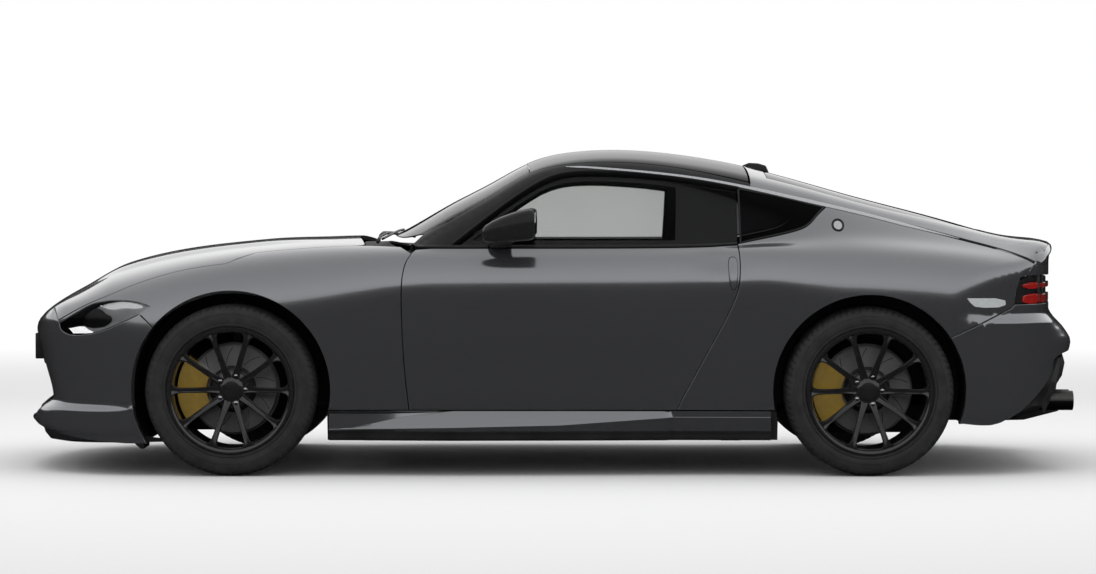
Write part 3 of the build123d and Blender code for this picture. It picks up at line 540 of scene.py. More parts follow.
def rolledEdge(loop, normal, out, roll, wall, fold):
    # rings of points and normals from a sheet's edge round to its back
    edge, hem = [], 0.004
    for t in np.radians((35, 65, 90)):
        edge.append((loop + out * roll * math.sin(t) - normal * roll * (1 - math.cos(t)),
            out * math.sin(t) + normal * math.cos(t)))
    edge.append((loop + out * roll - normal * (fold or wall), out))
    if fold and fold > wall:
        edge.append((loop - out * hem - normal * fold, -normal))
        edge.append((loop - out * hem - normal * wall, -out))
    return edge


def skinPiece(name, chart, outline, holes=(), gap=0.003, inset=0.0, wall=0.012, roll=0.002, fold=None, spacing=0.02,
        material=None, mirror=False):
    # a closed sheet of metal or glass that follows the skin inside an outline, with rolled edges
    loops = []
    for k, loop in enumerate([outline, *holes]):
        normal, out = loopFrame(loop, chart)
        if k:
            out = -out
        pulled = chart.find(chart.flat(loop - out * (gap / 2 + roll)), inset)
        bad = np.isnan(pulled[:, 0])
        pulled[bad] = (loop - out * (gap / 2 + roll) - normal * inset)[bad]
        loops.append(pulled)
    flats = [chart.flat(loop) for loop in loops]
    grid = gridInside(flats, spacing)
    places = chart.find(grid, inset)
    fine = ~np.isnan(places[:, 0])
    corners, origin, tris = triangulated(flats, grid[fine])
    source = np.vstack([*loops, places[fine]])
    points = np.where(origin[:, None] >= 0, source[np.maximum(origin, 0)], np.nan)
    lost = np.isnan(points[:, 0])
    if lost.any():
        points[lost] = chart.find(corners[lost], inset)
    normals = fieldNormal(points)
    # wind every triangle with its normal outward
    a, b, c = points[tris[:, 0]], points[tris[:, 1]], points[tris[:, 2]]
    turn = np.einsum("ij,ij->i", np.cross(b - a, c - a), normals[tris[:, 0]]) < 0
    tris[turn] = tris[turn][:, ::-1]
    count = len(points)
    back = {}
    for i, o in enumerate(origin):
        if o >= 0:
            back.setdefault(int(o), i)
    faces = [tuple(t) for t in tris]
    total, start = count, 0
    innerIndex = {}
    shell, shellNormals = [points], [normals]
    for k, loop in enumerate(loops):
        n = len(loop)
        normal, out = loopFrame(loop, chart)
        before = ids = [back[start + i] for i in range(n)]
        for places, ringNormals in rolledEdge(loop, normal, -out if k else out, roll, wall, fold):
            now = list(range(total, total + n))
            shell.append(places)
            shellNormals.append(ringNormals)
            total += n
            faces += [(before[i], before[(i + 1) % n], now[(i + 1) % n], now[i]) for i in range(n)]
            before = now
        innerIndex.update(zip(ids, before))
        start += n
    # the back of the sheet shares the last ring of each edge
    backOf = np.arange(count) + total
    backOf[list(innerIndex)] = list(innerIndex.values())
    backFrom = len(faces)
    faces += [(backOf[a], backOf[c], backOf[b]) for a, b, c in tris]
    shell = np.vstack([*shell, points - normals * wall])
    shellNormals = np.vstack([*shellNormals, -normals])
    backNormals = {int(backOf[i]): -normals[i] for i in range(count)}
    # quads are wound by the way they face
    for at, face in enumerate(faces):
        if len(face) == 4:
            p = shell[list(face)]
            up = np.cross(p[1] - p[0], p[2] - p[0]) + np.cross(p[2] - p[0], p[3] - p[0])
            if np.dot(up, shellNormals[list(face)].sum(axis=0)) < 0:
                faces[at] = face[::-1]
    if mirror:
        faces = [face[::-1] for face in faces]
    loopNormals = [backNormals[int(v)] if at >= backFrom else shellNormals[v] for at, face in enumerate(faces)
        for v in face]
    if mirror:
        shell, loopNormals = mirrored(shell), mirrored(np.array(loopNormals))
    used = np.unique(np.concatenate([np.array(f) for f in faces]))
    renumber = -np.ones(len(shell), int)
    renumber[used] = np.arange(len(used))
    faces = [tuple(renumber[list(f)]) for f in faces]
    return meshObject(name, shell[used], faces, material, [tuple(map(float, q)) for q in loopNormals])


# finishes
def carPaint(name, color, rough, metal):
    m = Material(name)
    flake = m.noise(2600.0, 1.0)
    cloud = m.noise(2.2, 3.0)
    tone = m.mix(flake.ramp(0.35, 0.75), [c * 0.96 for c in color], [c * 1.04 for c in color])
    shade = m.mix(cloud.ramp(0.3, 0.7) * 0.25, tone, [c * 0.9 for c in color])
    return m.finish(m.surface({"Metallic": metal, "Coat Weight": 1.0, "Coat Roughness": 0.02, "Coat IOR": 1.5,
        "Specular IOR Level": 0.5}, {"Base Color": shade, "Roughness": flake * 0.012 + (rough - 0.006)}))


def gloss(name, color, rough=0.12, coat=1.0, wear=0.05, level=0.5):
    m = Material(name)
    haze = m.noise(34.0, 4.0, 0.6)
    tone = m.mix(haze.ramp(0.4, 0.75) * 0.5, color, [c * 1.35 + 0.002 for c in color])
    return m.finish(m.surface({"Coat Weight": coat, "Coat Roughness": 0.03, "Specular IOR Level": level},
        {"Base Color": tone, "Roughness": haze * wear + rough}))


def moulded(name, color, rough=0.55, grain=900.0, depth=0.18):
    m = Material(name)
    pebble = m.noise(grain, 2.0)
    cloud = m.noise(9.0, 3.0)
    tone = m.mix(cloud.ramp(0.35, 0.7), [c * 0.85 for c in color], [c * 1.25 + 0.001 for c in color])
    return m.finish(m.surface({"Specular IOR Level": 0.4}, {"Base Color": tone,
        "Roughness": cloud * 0.12 + (rough - 0.06), "Normal": m.bump(pebble, depth, 0.0006)}))


def metal(name, color, rough=0.25, brushed=(1, 1, 1), depth=0.04, scale=300.0):
    m = Material(name)
    streak = m.noise(scale, 3.0, 0.6, m.stretched(brushed))
    tone = m.mix(streak.ramp(0.3, 0.7), [c * 0.85 for c in color], [min(1, c * 1.1) for c in color])
    return m.finish(m.surface({"Metallic": 1.0}, {"Base Color": tone, "Roughness": streak * 0.14 + (rough - 0.07),
        "Normal": m.bump(streak, depth, 0.0005)}))


def pane(name, tint):
    # thin glass: tinted straight through, and a mirror that grows to the edges
    m = Material(name)
    smear = m.noise(3.0, 3.0)
    through = m.add("ShaderNodeBsdfTransparent", inputs={"Color": tint})
    shine = m.surface({"Base Color": (0.004, 0.004, 0.005), "Metallic": 0.0, "IOR": 1.5, "Coat Weight": 0.0},
        {"Roughness": smear * 0.02 + 0.005})
    edge = m.add("ShaderNodeFresnel", inputs={"IOR": 1.5})
    share = (edge * 1.4 + smear.ramp(0.45, 0.8) * 0.02).clamped()
    return m.finish(m.add("ShaderNodeMixShader", inputs={0: share, 1: through, 2: shine}))


# a surface that emits light: on the lamp strip this is the lit lamp; on the lamp reflector and the side marker it
# is painted glow standing in for light they reflect
def glowing(name, color, strength, base=(0.8, 0.8, 0.8)):
    m = Material(name)
    ripple = m.noise(60.0, 2.0)
    return m.finish(m.surface({"Roughness": 0.25, "Coat Weight": 1.0, "Emission Strength": strength},
        {"Base Color": m.mix(ripple, base, [c * 0.85 for c in base]),
        "Emission Color": m.mix(ripple.ramp(0.3, 0.7), color, [c * 0.8 for c in color])}))


paint = carPaint("gunmetal paint", (0.236, 0.239, 0.255), 0.17, 0.84)
blackPaint = gloss("gloss black paint", (0.014, 0.014, 0.015), 0.14, 0.0, 0.05, 0.16)
blackTrim = moulded("black moulded plastic", (0.016, 0.016, 0.017), 0.5)
softBlack = moulded("rubber seal", (0.01, 0.01, 0.01), 0.7, 1500.0, 0.1)
silver = metal("satin silver trim", (0.62, 0.63, 0.65), 0.28)
clearGlass = pane("window glass", (0.828, 0.832, 0.829))
darkGlass = pane("privacy glass", (0.26, 0.26, 0.27))
lensGlass = pane("lamp lens", (0.97, 0.97, 0.97))
redLens = gloss("red lens", (0.3, 0.01, 0.008), 0.1)

# lighting: a broad soft panel overhead, a pale world, and dark flags that only reflections see
studio = {"lampWatts": 185, "lampSize": (9.0, 7.0), "lampHeight": 5.2, "worldLevel": 0.7, "overheadDim": 0.35,
    "flagRadius": 9.0, "flagTop": 2.0, "floorHalf": 900.0, "fadeFrom": 5.0, "fadeTo": 11.0}
backdrop = Material("studio", bpy.data.worlds.new("studio"))
bpy.context.scene.world = backdrop.data
raysSeen = backdrop.rayKinds()
skyHeight = backdrop.add("ShaderNodeSeparateXYZ", inputs={0: backdrop.add("ShaderNodeTexCoord",
    output="Generated")}, output="Z")
skyShown = 1 - skyHeight.ramp(0.1, 1.0) * studio["overheadDim"]
level = studio["worldLevel"]
pale = (raysSeen[0] + raysSeen[2]).clamped() * (1 - level) + raysSeen[1] * (skyShown - level) + level
backdrop.finish(backdrop.add("ShaderNodeBackground", inputs={"Color": (1, 1, 1), "Strength": pale}))

panelData = bpy.data.lights.new("overhead panel", "AREA")
panelData.shape = "RECTANGLE"
panelData.size, panelData.size_y = studio["lampSize"]
panelData.energy = studio["lampWatts"]
panelLight = bpy.data.objects.new("overhead panel", panelData)
bpy.context.scene.collection.objects.link(panelLight)
panelLight.location = (0, 0, studio["lampHeight"])
# only surfaces that scatter light see the panel; reflections see the pale world instead
panelLight.visible_glossy = False

# near the car the floor is lit and takes its shadow; further off it fades into the white background
floorMaterial = Material("studio floor")
grain = floorMaterial.noise(14.0, 4.0)
matte = floorMaterial.surface({"Roughness": 0.9, "Specular IOR Level": 0.1},
    {"Base Color": floorMaterial.mix(grain, (0.93, 0.93, 0.93), (0.95, 0.95, 0.95))})
rayKinds = floorMaterial.rayKinds()
white = floorMaterial.add("ShaderNodeEmission", inputs={"Color": (1, 1, 1),
    "Strength": (rayKinds[0] + rayKinds[1] + rayKinds[2]).clamped() * 0.4 + 0.6})
reach = (floorMaterial.axis("X") * 0.8) ** 2.0 + floorMaterial.axis("Y") ** 2.0
far = (reach ** 0.5).ramp(studio["fadeFrom"], studio["fadeTo"])
floorMaterial.finish(floorMaterial.add("ShaderNodeMixShader", inputs={0: far, 1: matte, 2: white}))
half = studio["floorHalf"]
floor = meshObject("floor", [(-half, -half, 0), (half, -half, 0), (half, half, 0), (-half, half, 0)],
    [(0, 1, 2, 3)], floorMaterial.data, smooth=False)
floor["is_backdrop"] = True

flagSides, flagFoot = 64, 0.004
flagPoints, flagFaces = [], []
for k, (c, s) in enumerate(circle(flagSides)):
    x, y, following = studio["flagRadius"] * c, studio["flagRadius"] * s, 2 * ((k + 1) % flagSides)
    flagPoints += [(x, y, flagFoot), (x, y, studio["flagTop"])]
    flagFaces += [(2 * k, following, following + 1, 2 * k + 1), (2 * flagSides, following, 2 * k)]
flagPoints.append((0, 0, flagFoot))
flagCloth = Material("black flag cloth")
weave = flagCloth.noise(90.0, 2.0)
flagCloth.finish(flagCloth.surface({"Roughness": 1.0, "Specular IOR Level": 0.0},
    {"Base Color": flagCloth.mix(weave, (0.01, 0.01, 0.01), (0.016, 0.016, 0.016))}))
flag = meshObject("dark flags", flagPoints, flagFaces, flagCloth.data, smooth=False)
for sense in ("camera", "diffuse", "transmission", "shadow", "volume_scatter"):
    setattr(flag, "visible_" + sense, False)
flag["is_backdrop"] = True
bpy.context.scene.view_settings.view_transform = "Standard"
say("camera, lights and floor")

# outlines of the panels on the left side, metres: (chart, points, rounding)
archFront = {"x": 1.285, "z": 0.343, "radius": 0.396}
archRear = {"x": -1.265, "z": 0.34, "radius": 0.383}


def arcPoints(arch, start, end):
    steps = 60
    turns = [math.radians(start + (end - start) * k / steps) for k in range(steps + 1)]
    return [(arch["x"] + arch["radius"] * math.cos(t), arch["z"] + arch["radius"] * math.sin(t)) for t in turns]


doorFront = [(0.573, 0.262), (0.59, 0.4), (0.602, 0.6), (0.604, 0.77), (0.59, 0.85), (0.566, 0.888)]
doorTop = [(0.566, 0.888), (0.545, 0.908), (0.3, 0.909), (-0.2, 0.909), (-0.6, 0.912), (-0.744, 0.922)]
doorRear = [(-0.744, 0.922), (-0.75, 0.854), (-0.744, 0.743), (-0.7, 0.643), (-0.588, 0.437), (-0.512, 0.297),
    (-0.497, 0.262)]
hoodFront = [(2.132, 0.0), (2.121, 0.25), (2.08, 0.47), (2.03, 0.585)]
hoodEdge = [(1.998, 0.616), (1.914, 0.662), (1.857, 0.69), (1.786, 0.718), (1.68, 0.764), (1.552, 0.806),
    (1.43, 0.832), (1.309, 0.848)]
hoodSide = [(1.2, 0.7), (1.05, 0.694), (0.9, 0.69), (0.79, 0.69)]
hoodRear = [(0.79, 0.69), (0.756, 0.672), (0.775, 0.5), (0.8, 0.25), (0.81, 0.0)]
lampTop = [(1.992, 0.606), (1.914, 0.65), (1.862, 0.679), (1.822, 0.693), (1.75, 0.702), (1.668, 0.698),
    (1.606, 0.679)]
lampLow = [(1.606, 0.679), (1.647, 0.647), (1.709, 0.618), (1.791, 0.582), (1.85, 0.566), (1.94, 0.558),
    (1.985, 0.576), (1.992, 0.606)]

leftRight = ((False, "left"), (True, "right"))


def bodyPiece(piece, body, *replaced):
    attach(piece, body)
    if replaced:
        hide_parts(*replaced)


def bothPieces(make, stem, *shape, on="car", stands=(), **settings):
    # the same piece on the left and, mirrored, on the right; {} stands for the side's name
    for side, name in leftRight:
        piece = make(f"{stem}_{name}", *shape, mirror=side, **settings)
        bodyPiece(piece, on.format(name), *(node.format(name) for node in stands))


# hood, fenders and doors
hoodLoop = bothSides(traced([(topChart, hoodFront, 2), (sideChart, hoodEdge, 1), (topChart, hoodSide, 1),
    (topChart, hoodRear, 1)]))
bodyPiece(skinPiece("hood_skin", topChart, hoodLoop, material=paint, wall=0.018, spacing=0.024), "hood", "hood")
say("hood")

fenderLoop = traced([(sideChart, [(0.573, 0.262), (0.897, 0.262)], 0),
    (sideChart, arcPoints(archFront, 191.9, 39.0), 0), (sideChart, [(1.593, 0.592), (1.62, 0.622), (1.647, 0.647)],
    1), (sideChart, [(1.647, 0.647), (1.606, 0.679)], 0), (sideChart, lampTop[::-1], 1), (sideChart, hoodEdge, 1),
    (topChart, [*hoodSide, (0.7, 0.712), (0.61, 0.742)], 1), (sideChart, doorFront[::-1], 1)])
bothPieces(skinPiece, "fender_skin", roundChart, fenderLoop, material=paint, fold=0.03, stands=["front_fenders"])
say("fenders")

doorLoop = traced([(sideChart, doorFront, 1), (sideChart, doorTop, 1), (sideChart, doorRear, 2),
    (sideChart, [(-0.497, 0.262), (0.573, 0.262)], 0)])
bothPieces(skinPiece, "door_skin", roundChart, doorLoop, material=paint, fold=0.03, on="door_{}",
    stands=["door_{}"])
say("doors")


def newMesh(name, bm, material, mirror=False):
    if mirror:
        bmesh.ops.scale(bm, vec=(1, -1, 1), verts=bm.verts)
        bmesh.ops.reverse_faces(bm, faces=bm.faces)
    mesh = bpy.data.meshes.new(name)
    bm.to_mesh(mesh)
    bm.free()
    mesh.materials.append(material)
    piece = bpy.data.objects.new(name, mesh)
    bpy.context.scene.collection.objects.link(piece)
    mesh.shade_smooth()
    return piece


def sharpened(piece, degrees=35):
    mesh = piece.data
    mesh.shade_smooth()
    mesh.set_sharp_from_angle(angle=math.radians(degrees))
    return piece


def finished(name, bm, material, sharp=None, mirror=False, across=0.0):
    # a mesh moved across and facing outward, with edges sharp above an angle in degrees
    bmesh.ops.translate(bm, vec=(0, across, 0), verts=bm.verts)
    bmesh.ops.recalc_face_normals(bm, faces=bm.faces)
    piece = newMesh(name, bm, material, mirror)
    return sharpened(piece, sharp) if sharp else piece


def lofted(name, rows, material, sharp=None, mirror=False):
    # a closed body through rows of points
    bm = bmesh.new()
    rings(bm, rows, True, True)
    return finished(name, bm, material, sharp, mirror)


def prism(name, outline, axis, low, high, material, bevel=0.003, segments=2, mirror=False):
    # an outline in the other two axes pushed along one axis, with softened edges
    bm = bmesh.new()
    order = {"x": lambda a, b, c: (c, a, b), "y": lambda a, b, c: (a, c, b), "z": lambda a, b, c: (a, b, c)}[axis]
    lower = [bm.verts.new(order(a, b, low)) for a, b in outline]
    upper = [bm.verts.new(order(a, b, high)) for a, b in outline]
    bm.faces.new(lower)
    bm.faces.new(upper[::-1])
    n = len(outline)
    for i in range(n):
        bm.faces.new((lower[i], upper[i], upper[(i + 1) % n], lower[(i + 1) % n]))
    bmesh.ops.recalc_face_normals(bm, faces=bm.faces)
    if bevel:
        bmesh.ops.bevel(bm, geom=list(bm.edges), offset=bevel, segments=segments, profile=0.5, affect="EDGES",
            clamp_overlap=True)
    bmesh.ops.triangulate(bm, faces=[f for f in bm.faces if len(f.verts) > 4])
    return sharpened(newMesh(name, bm, material, mirror=mirror), 40)


def rings(bm, rows, closeAround=True, closeEnds=False, loopRows=False):
    # joins rows of points, all as long, into a skin
    made = [[bm.verts.new(p) for p in row] for row in rows]
    n, count = len(made[0]), len(made)
    for r in range(count if loopRows else count - 1):
        a, b = made[r], made[(r + 1) % count]
        for i in range(n if closeAround else n - 1):
            j = (i + 1) % n
            bm.faces.new((a[i], a[j], b[j], b[i]))
    if closeEnds:
        bm.faces.new(made[0][::-1])
        bm.faces.new(made[-1])


def turned(bm, profile, centre, steps=128, wobble=None):
    # a closed profile of (radius, y) points about a line along Y through centre (x, z)
    rows = []
    for k, (c, s) in enumerate(circle(steps)):
        row = []
        for i, (r, y) in enumerate(profile):
            r = r + wobble(i, 2 * math.pi * k / steps, r, y) if wobble else r
            row.append((centre[0] + r * c, y, centre[1] + r * s))
        rows.append(row)
    rings(bm, rows, True, False, True)


def moulding(name, path, width, height, material, sink=0.003, closed=False, mirror=False):
    # a rounded strip laid on the skin along a path of places; width and height may change along it
    path = np.array(path)
    n = len(path)
    normal = fieldNormal(path)
    along = np.roll(path, -1, axis=0) - np.roll(path, 1, axis=0) if closed else np.gradient(path, axis=0)
    across = unit(np.cross(normal, unit(along)))
    section = [(-0.5, -1), (-0.5, 0.35), (-0.47, 0.7), (-0.38, 0.93), (-0.2, 1), (0.2, 1), (0.38, 0.93),
        (0.47, 0.7), (0.5, 0.35), (0.5, -1)]
    t = np.linspace(0, 1, n)
    wide = np.array([width(s) if callable(width) else width for s in t])
    tall = np.array([height(s) if callable(height) else height for s in t])
    rows = []
    for k in range(n):
        row = []
        for a, b in section:
            up = tall[k] * b if b > 0 else -sink
            row.append(path[k] + across[k] * wide[k] * a + normal[k] * up)
        rows.append([tuple(map(float, p)) for p in row])
    bm = bmesh.new()
    rings(bm, rows, True, not closed, closed)
    return finished(name, bm, material, 50, mirror)


def line(chart, points, smooth=2):
    return traced([(chart, points, smooth)], 0.012)


def tubeAlong(bm, path, radius, sides=10):
    path = [Vector(p) for p in path]
    rows = []
    up = Vector((0, 0, 1))
    for i, p in enumerate(path):
        d = (path[min(i + 1, len(path) - 1)] - path[max(i - 1, 0)]).normalized()
        a = d.cross(up)
        if a.length < 1e-4:
            a = d.cross(Vector((0, 1, 0)))
        a.normalize()
        b = a.cross(d)
        r = radius[i] if hasattr(radius, "__len__") else radius
        rows.append([tuple(p + a * r * c + b * r * s) for c, s in circle(sides)])
    rings(bm, rows, True, True)


# front bumper, open at the grille
bumperFoot = [(1.617, 0.128), (1.732, 0.128), (1.888, 0.139), (2.0, 0.154), (2.07, 0.162)]
grilleHole = [(-0.5, 0.205), (-0.54, 0.3), (-0.47, 0.428), (0.47, 0.428), (0.54, 0.3), (0.5, 0.205)]
bumperHalf = traced([(topChart, hoodFront, 2), (sideChart, lampLow[::-1], 1),
    (sideChart, [(1.647, 0.647), (1.62, 0.622), (1.593, 0.592)], 0),
    (sideChart, arcPoints(archFront, 39.0, -31.5), 0), (sideChart, bumperFoot, 1),
    (frontChart, [(0.7, 0.166), (0.5, 0.168), (0.25, 0.168), (0.0, 0.168)], 0)])
grilleLoop = traced([(frontChart, resample(grilleHole + grilleHole[:1], 0.02), 0)])
bodyPiece(skinPiece("front_bumper_skin", noseChart, bothSides(bumperHalf), [grilleLoop], material=paint, wall=0.014,
    fold=0.035, gap=0.003), "car", "front_bumper")
say("front bumper")


def noseEdge(z, y):
    # x of the bumper's skin at one height
    level, y = noseAt(z), abs(y)
    level += (min(max(level, 2.13), 2.16) - level) * 0.85 * fade(y, *cornerFade)
    return level - noseBack(y)


def acrossCar(part):
    # each place across the car, with how far out it is: 0 in the middle, 1 at either end
    for k in range(part["steps"] + 1):
        y = part["half"] * (2 * k / part["steps"] - 1)
        yield y, abs(y) / part["half"]


# black lip under the bumper
lip = {"half": 0.835, "low": 0.111, "top": 0.176, "rise": 0.02, "fall": 0.01, "setBack": 0.048, "level": 0.21,
    "steps": 64}
lipRows = []
for y, e in acrossCar(lip):
    low, top = lip["low"] + lip["rise"] * e ** 3, lip["top"] - lip["fall"] * e ** 4
    row = [(0.24, low + 0.004), (0.06 + 0.02 * e, low), (0.022, low + 0.008), (0.004, low + 0.03),
        (0.0, low + 0.042), (0.004, top - 0.004), (0.016, top + 0.002), (0.05, top + 0.003), (0.24, top - 0.02)]
    edge = noseEdge(lip["level"], y) - lip["setBack"]
    lipRows.append([(edge - b, y, z) for b, z in row])
bodyPiece(lofted("front_lip", lipRows, blackPaint, 40), "car", "front_bumper")

# openwork grille over a black duct, and the blank plate holder
meshGrille = {"pitchY": 0.046, "pitchZ": 0.034, "bar": 0.0035, "behind": 0.03, "rows": 7, "low": 0.222,
    "half": 0.52, "kink": 0.012}
grilleMesh = bmesh.new()


def grillePoint(y, z):
    return (noseEdge(z, y) - meshGrille["behind"], y, z)


columns = int(2 * meshGrille["half"] / meshGrille["pitchY"])
for row in range(meshGrille["rows"]):
    z = meshGrille["low"] + row * meshGrille["pitchZ"]
    path = [grillePoint(-meshGrille["half"] + k * meshGrille["pitchY"],
        z + meshGrille["kink"] * (1 if (k + row) % 2 else -1)) for k in range(columns + 1)]
    tubeAlong(grilleMesh, path, meshGrille["bar"], 6)
    for k in range(columns + 1):
        if (k + row) % 2 and row < meshGrille["rows"] - 1:
            above = grillePoint(path[k][1], z + meshGrille["pitchZ"] - meshGrille["kink"])
            tubeAlong(grilleMesh, [path[k], above], meshGrille["bar"], 6)
duct = {"behind": 0.075, "half": 0.6, "steps": 24, "wall": 0.006, "levels": (0.19, 0.25, 0.32, 0.38, 0.45)}
backing = [[(noseEdge(z, y) - duct["behind"], y, z) for z in duct["levels"]]
    for y in [-duct["half"] + 2 * duct["half"] * k / duct["steps"] for k in range(duct["steps"] + 1)]]
bodyPiece(newMesh("grille_mesh", grilleMesh, blackPaint), "car", "front_grille")
backMesh = bmesh.new()
rings(backMesh, backing, False)
deep = bmesh.ops.extrude_face_region(backMesh, geom=list(backMesh.faces))
bmesh.ops.translate(backMesh, vec=(-duct["wall"], 0, 0), verts=[v for v in deep["geom"]
    if isinstance(v, bmesh.types.BMVert)])
bodyPiece(finished("grille_duct", backMesh, blackTrim), "car", "front_grille")
plateHolder = [(2.136, 0.437), (2.172, 0.437), (2.172, 0.545), (2.158, 0.545), (2.15, 0.52)]
bodyPiece(prism("plate_holder", plateHolder, "y", -0.19, 0.19, blackTrim, 0.004), "car", "front_grille")
spatOutline = [(1.686, 0.15), (1.682, 0.128), (1.655, 0.104), (1.64, 0.103), (1.636, 0.15)]
bothPieces(prism, "wheel_spat", spatOutline, "y", 0.62, 0.8, blackTrim, 0.003)
say("lip and grille")

# headlamps: a clear cover over a dark housing with a light strip, and a reflector made bright by painted glow that
# stands in for the light it reflects
lampLoop = traced([(sideChart, lampTop, 1), (sideChart, lampLow, 1)], 0.007)
# the reflector's emission is a painted reflection; it is no lamp
reflectorPaintedGlow = glowing("lamp reflector", (0.9, 0.92, 0.94), 0.42, (0.85, 0.86, 0.87))
lampLight = glowing("lamp strip", (1.0, 1.0, 1.0), 0.95)
lampSilver = moulded("lamp bezel", (0.52, 0.53, 0.55), 0.3, 500.0, 0.05)
lampParts = {"black": ([(1.975, 0.606), (1.909, 0.644), (1.85, 0.674), (1.808, 0.667), (1.787, 0.647),
    (1.758, 0.636), (1.763, 0.611), (1.8, 0.59), (1.86, 0.588), (1.898, 0.605), (1.95, 0.594)], blackPaint, 0.0045),
    "strip": ([(1.95, 0.586), (1.883, 0.599), (1.862, 0.583), (1.836, 0.573), (1.852, 0.568), (1.929, 0.565)],
    lampLight, 0.0035), "wing": ([(1.833, 0.685), (1.79, 0.691), (1.738, 0.697), (1.671, 0.692), (1.622, 0.676),
    (1.662, 0.668), (1.715, 0.672), (1.762, 0.662), (1.812, 0.676)], reflectorPaintedGlow, 0.0035),
    "blade": ([(1.775, 0.654), (1.7, 0.664), (1.655, 0.653), (1.707, 0.629), (1.748, 0.612), (1.757, 0.636)],
    lampSilver, 0.0045)}
bothPieces(skinPiece, "lamp_cover", sideChart, lampLoop, material=lensGlass, wall=0.003, roll=0.001, gap=0.002,
    spacing=0.016, stands=["headlamps"])
bothPieces(skinPiece, "lamp_bowl", sideChart, lampLoop, material=lampSilver, wall=0.03, roll=0.001, inset=0.009,
    gap=0.003, spacing=0.016, stands=["headlamps"])
for key, (points, finish, depth) in lampParts.items():
    bothPieces(skinPiece, "lamp_" + key, sideChart, traced([(sideChart, points, 1)], 0.006), material=finish,
        wall=0.006, roll=0.0015, inset=depth, gap=0.001, spacing=0.012, stands=["headlamps"])
say("headlamps")

# windscreen, roof and their frames
glassShape = {"wall": 0.005, "roll": 0.001, "gap": 0.002, "inset": 0.002}
screenHalf = [(0.668, 0), (0.65, 0.3), (0.604, 0.52), (0.52, 0.668), (0.42, 0.668), (0.092, 0.556), (0.104, 0.3),
    (0.11, 0)]
screenRuns = traced([(topChart, screenHalf[:4], 2), (topChart, screenHalf[3:6], 1), (topChart, screenHalf[5:], 1)])
bodyPiece(skinPiece("windscreen", topChart, bothSides(screenRuns), material=clearGlass, **glassShape, spacing=0.03),
    "car", "fixed_glass")
frameLoop = traced([(sideChart, [(0.408, 0.916), (0.219, 1.066), (0.125, 1.132), (0.032, 1.188), (-0.058, 1.215),
    (-0.193, 1.22), (-0.398, 1.208), (-0.601, 1.18), (-0.764, 1.15), (-0.85, 1.131)], 1),
    (topChart, [(-0.8, 0.545), (-0.5, 0.545), (-0.06, 0.552), (0.092, 0.556), (0.42, 0.668), (0.52, 0.668),
    (0.575, 0.728)], 0), (sideChart, [(0.575, 0.93), (0.552, 0.916), (0.408, 0.916)], 0)])
roofHalf = traced([(topChart, [(0.11, 0.0), (0.104, 0.3), (0.092, 0.556)], 1),
    (topChart, [(0.092, 0.556), (-0.06, 0.552), (-0.5, 0.545), (-0.802, 0.54)], 0),
    (topChart, [(-0.802, 0.54), (-0.802, 0.0)], 0)])
headCloth = moulded("headlining", (0.02, 0.02, 0.021), 0.85, 2400.0, 0.3)
bodyPiece(skinPiece("roof_skin", topChart, bothSides(roofHalf), material=blackPaint, wall=0.012, spacing=0.03),
    "car", "roof_panel")
bodyPiece(skinPiece("headlining", topChart, bothSides(roofHalf), material=headCloth, wall=0.01, inset=0.03,
    gap=0.02, spacing=0.04), "car", "roof_panel")
bothPieces(skinPiece, "roof_rail", roundChart, frameLoop, material=blackPaint, wall=0.03, gap=0.003, spacing=0.018,
    stands=["roof_frames"])
say("windscreen, rails and roof")

# hatch with its window, below the line of the roof strip
stripLine = [(-0.8, 1.15), (-1.005, 1.104), (-1.265, 1.046), (-1.404, 1.01), (-1.606, 0.957), (-1.663, 0.941),
    (-1.8, 0.905), (-1.893, 0.874), (-1.972, 0.834)]
hatchHalf = traced([(topChart, [(-0.808, 0.0), (-0.808, 0.548)], 0),
    (sideChart, [(a, b + 0.008) for a, b in stripLine], 1),
    (rearChart, [(0.77, 0.8), (0.7, 0.792), (0.0, 0.792)], 0)])
rearGlassHalf = [(-0.885, 0), (-0.885, 0.43), (-1.2, 0.445), (-1.6, 0.42), (-1.76, 0.38), (-1.79, 0.2), (-1.795, 0)]
rearGlassLoop = bothSides(traced([(topChart, rearGlassHalf[:2], 0), (topChart, rearGlassHalf[1:5], 1),
    (topChart, rearGlassHalf[4:], 1)]))
bodyPiece(skinPiece("hatch_skin", topChart, bothSides(hatchHalf), [rearGlassLoop], material=paint, wall=0.02,
    spacing=0.024), "hatch", "hatch")
bodyPiece(skinPiece("hatch_window", topChart, rearGlassLoop, material=darkGlass, **glassShape, spacing=0.03),
    "hatch", "hatch_glass")
say("hatch")

# quarter panels and their windows
quarterLoop = traced([(sideChart, doorRear[::-1], 2), (sideChart,
    [(-0.744, 0.926), (-0.836, 0.945), (-0.917, 0.961), (-0.998, 0.981), (-1.039, 1.001), (-1.08, 1.046),
    (-1.112, 1.072)], 1), (sideChart, [(-1.112, 1.078), *[(a, b - 0.002) for a, b in stripLine[2:]]], 1),
    (sideChart, [(-1.972, 0.834), (-1.99, 0.8)], 0), (sideChart, [(-1.88, 0.79), (-1.862, 0.738), (-1.852, 0.684)],
    0), (sideChart, [(-1.845, 0.672), (-1.592, 0.556)], 0), (sideChart, arcPoints(archRear, 146.6, -11.7), 0),
    (sideChart, [(-0.88, 0.262), (-0.497, 0.262)], 0)])
quarterWindow = traced([(sideChart, [(-0.756, 0.93), (-0.836, 0.949), (-0.917, 0.965), (-0.998, 0.985),
    (-1.039, 1.005), (-1.08, 1.05), (-1.104, 1.072)], 1), (sideChart,
    [(-1.104, 1.072), (-1.005, 1.096), (-0.9, 1.121), (-0.85, 1.13), (-0.764, 1.147)], 0),
    (sideChart, [(-0.756, 1.145), (-0.756, 0.93)], 0)])
bothPieces(skinPiece, "quarter_skin", roundChart, quarterLoop, material=paint, wall=0.014, fold=0.03,
    stands=["quarter_panels"])
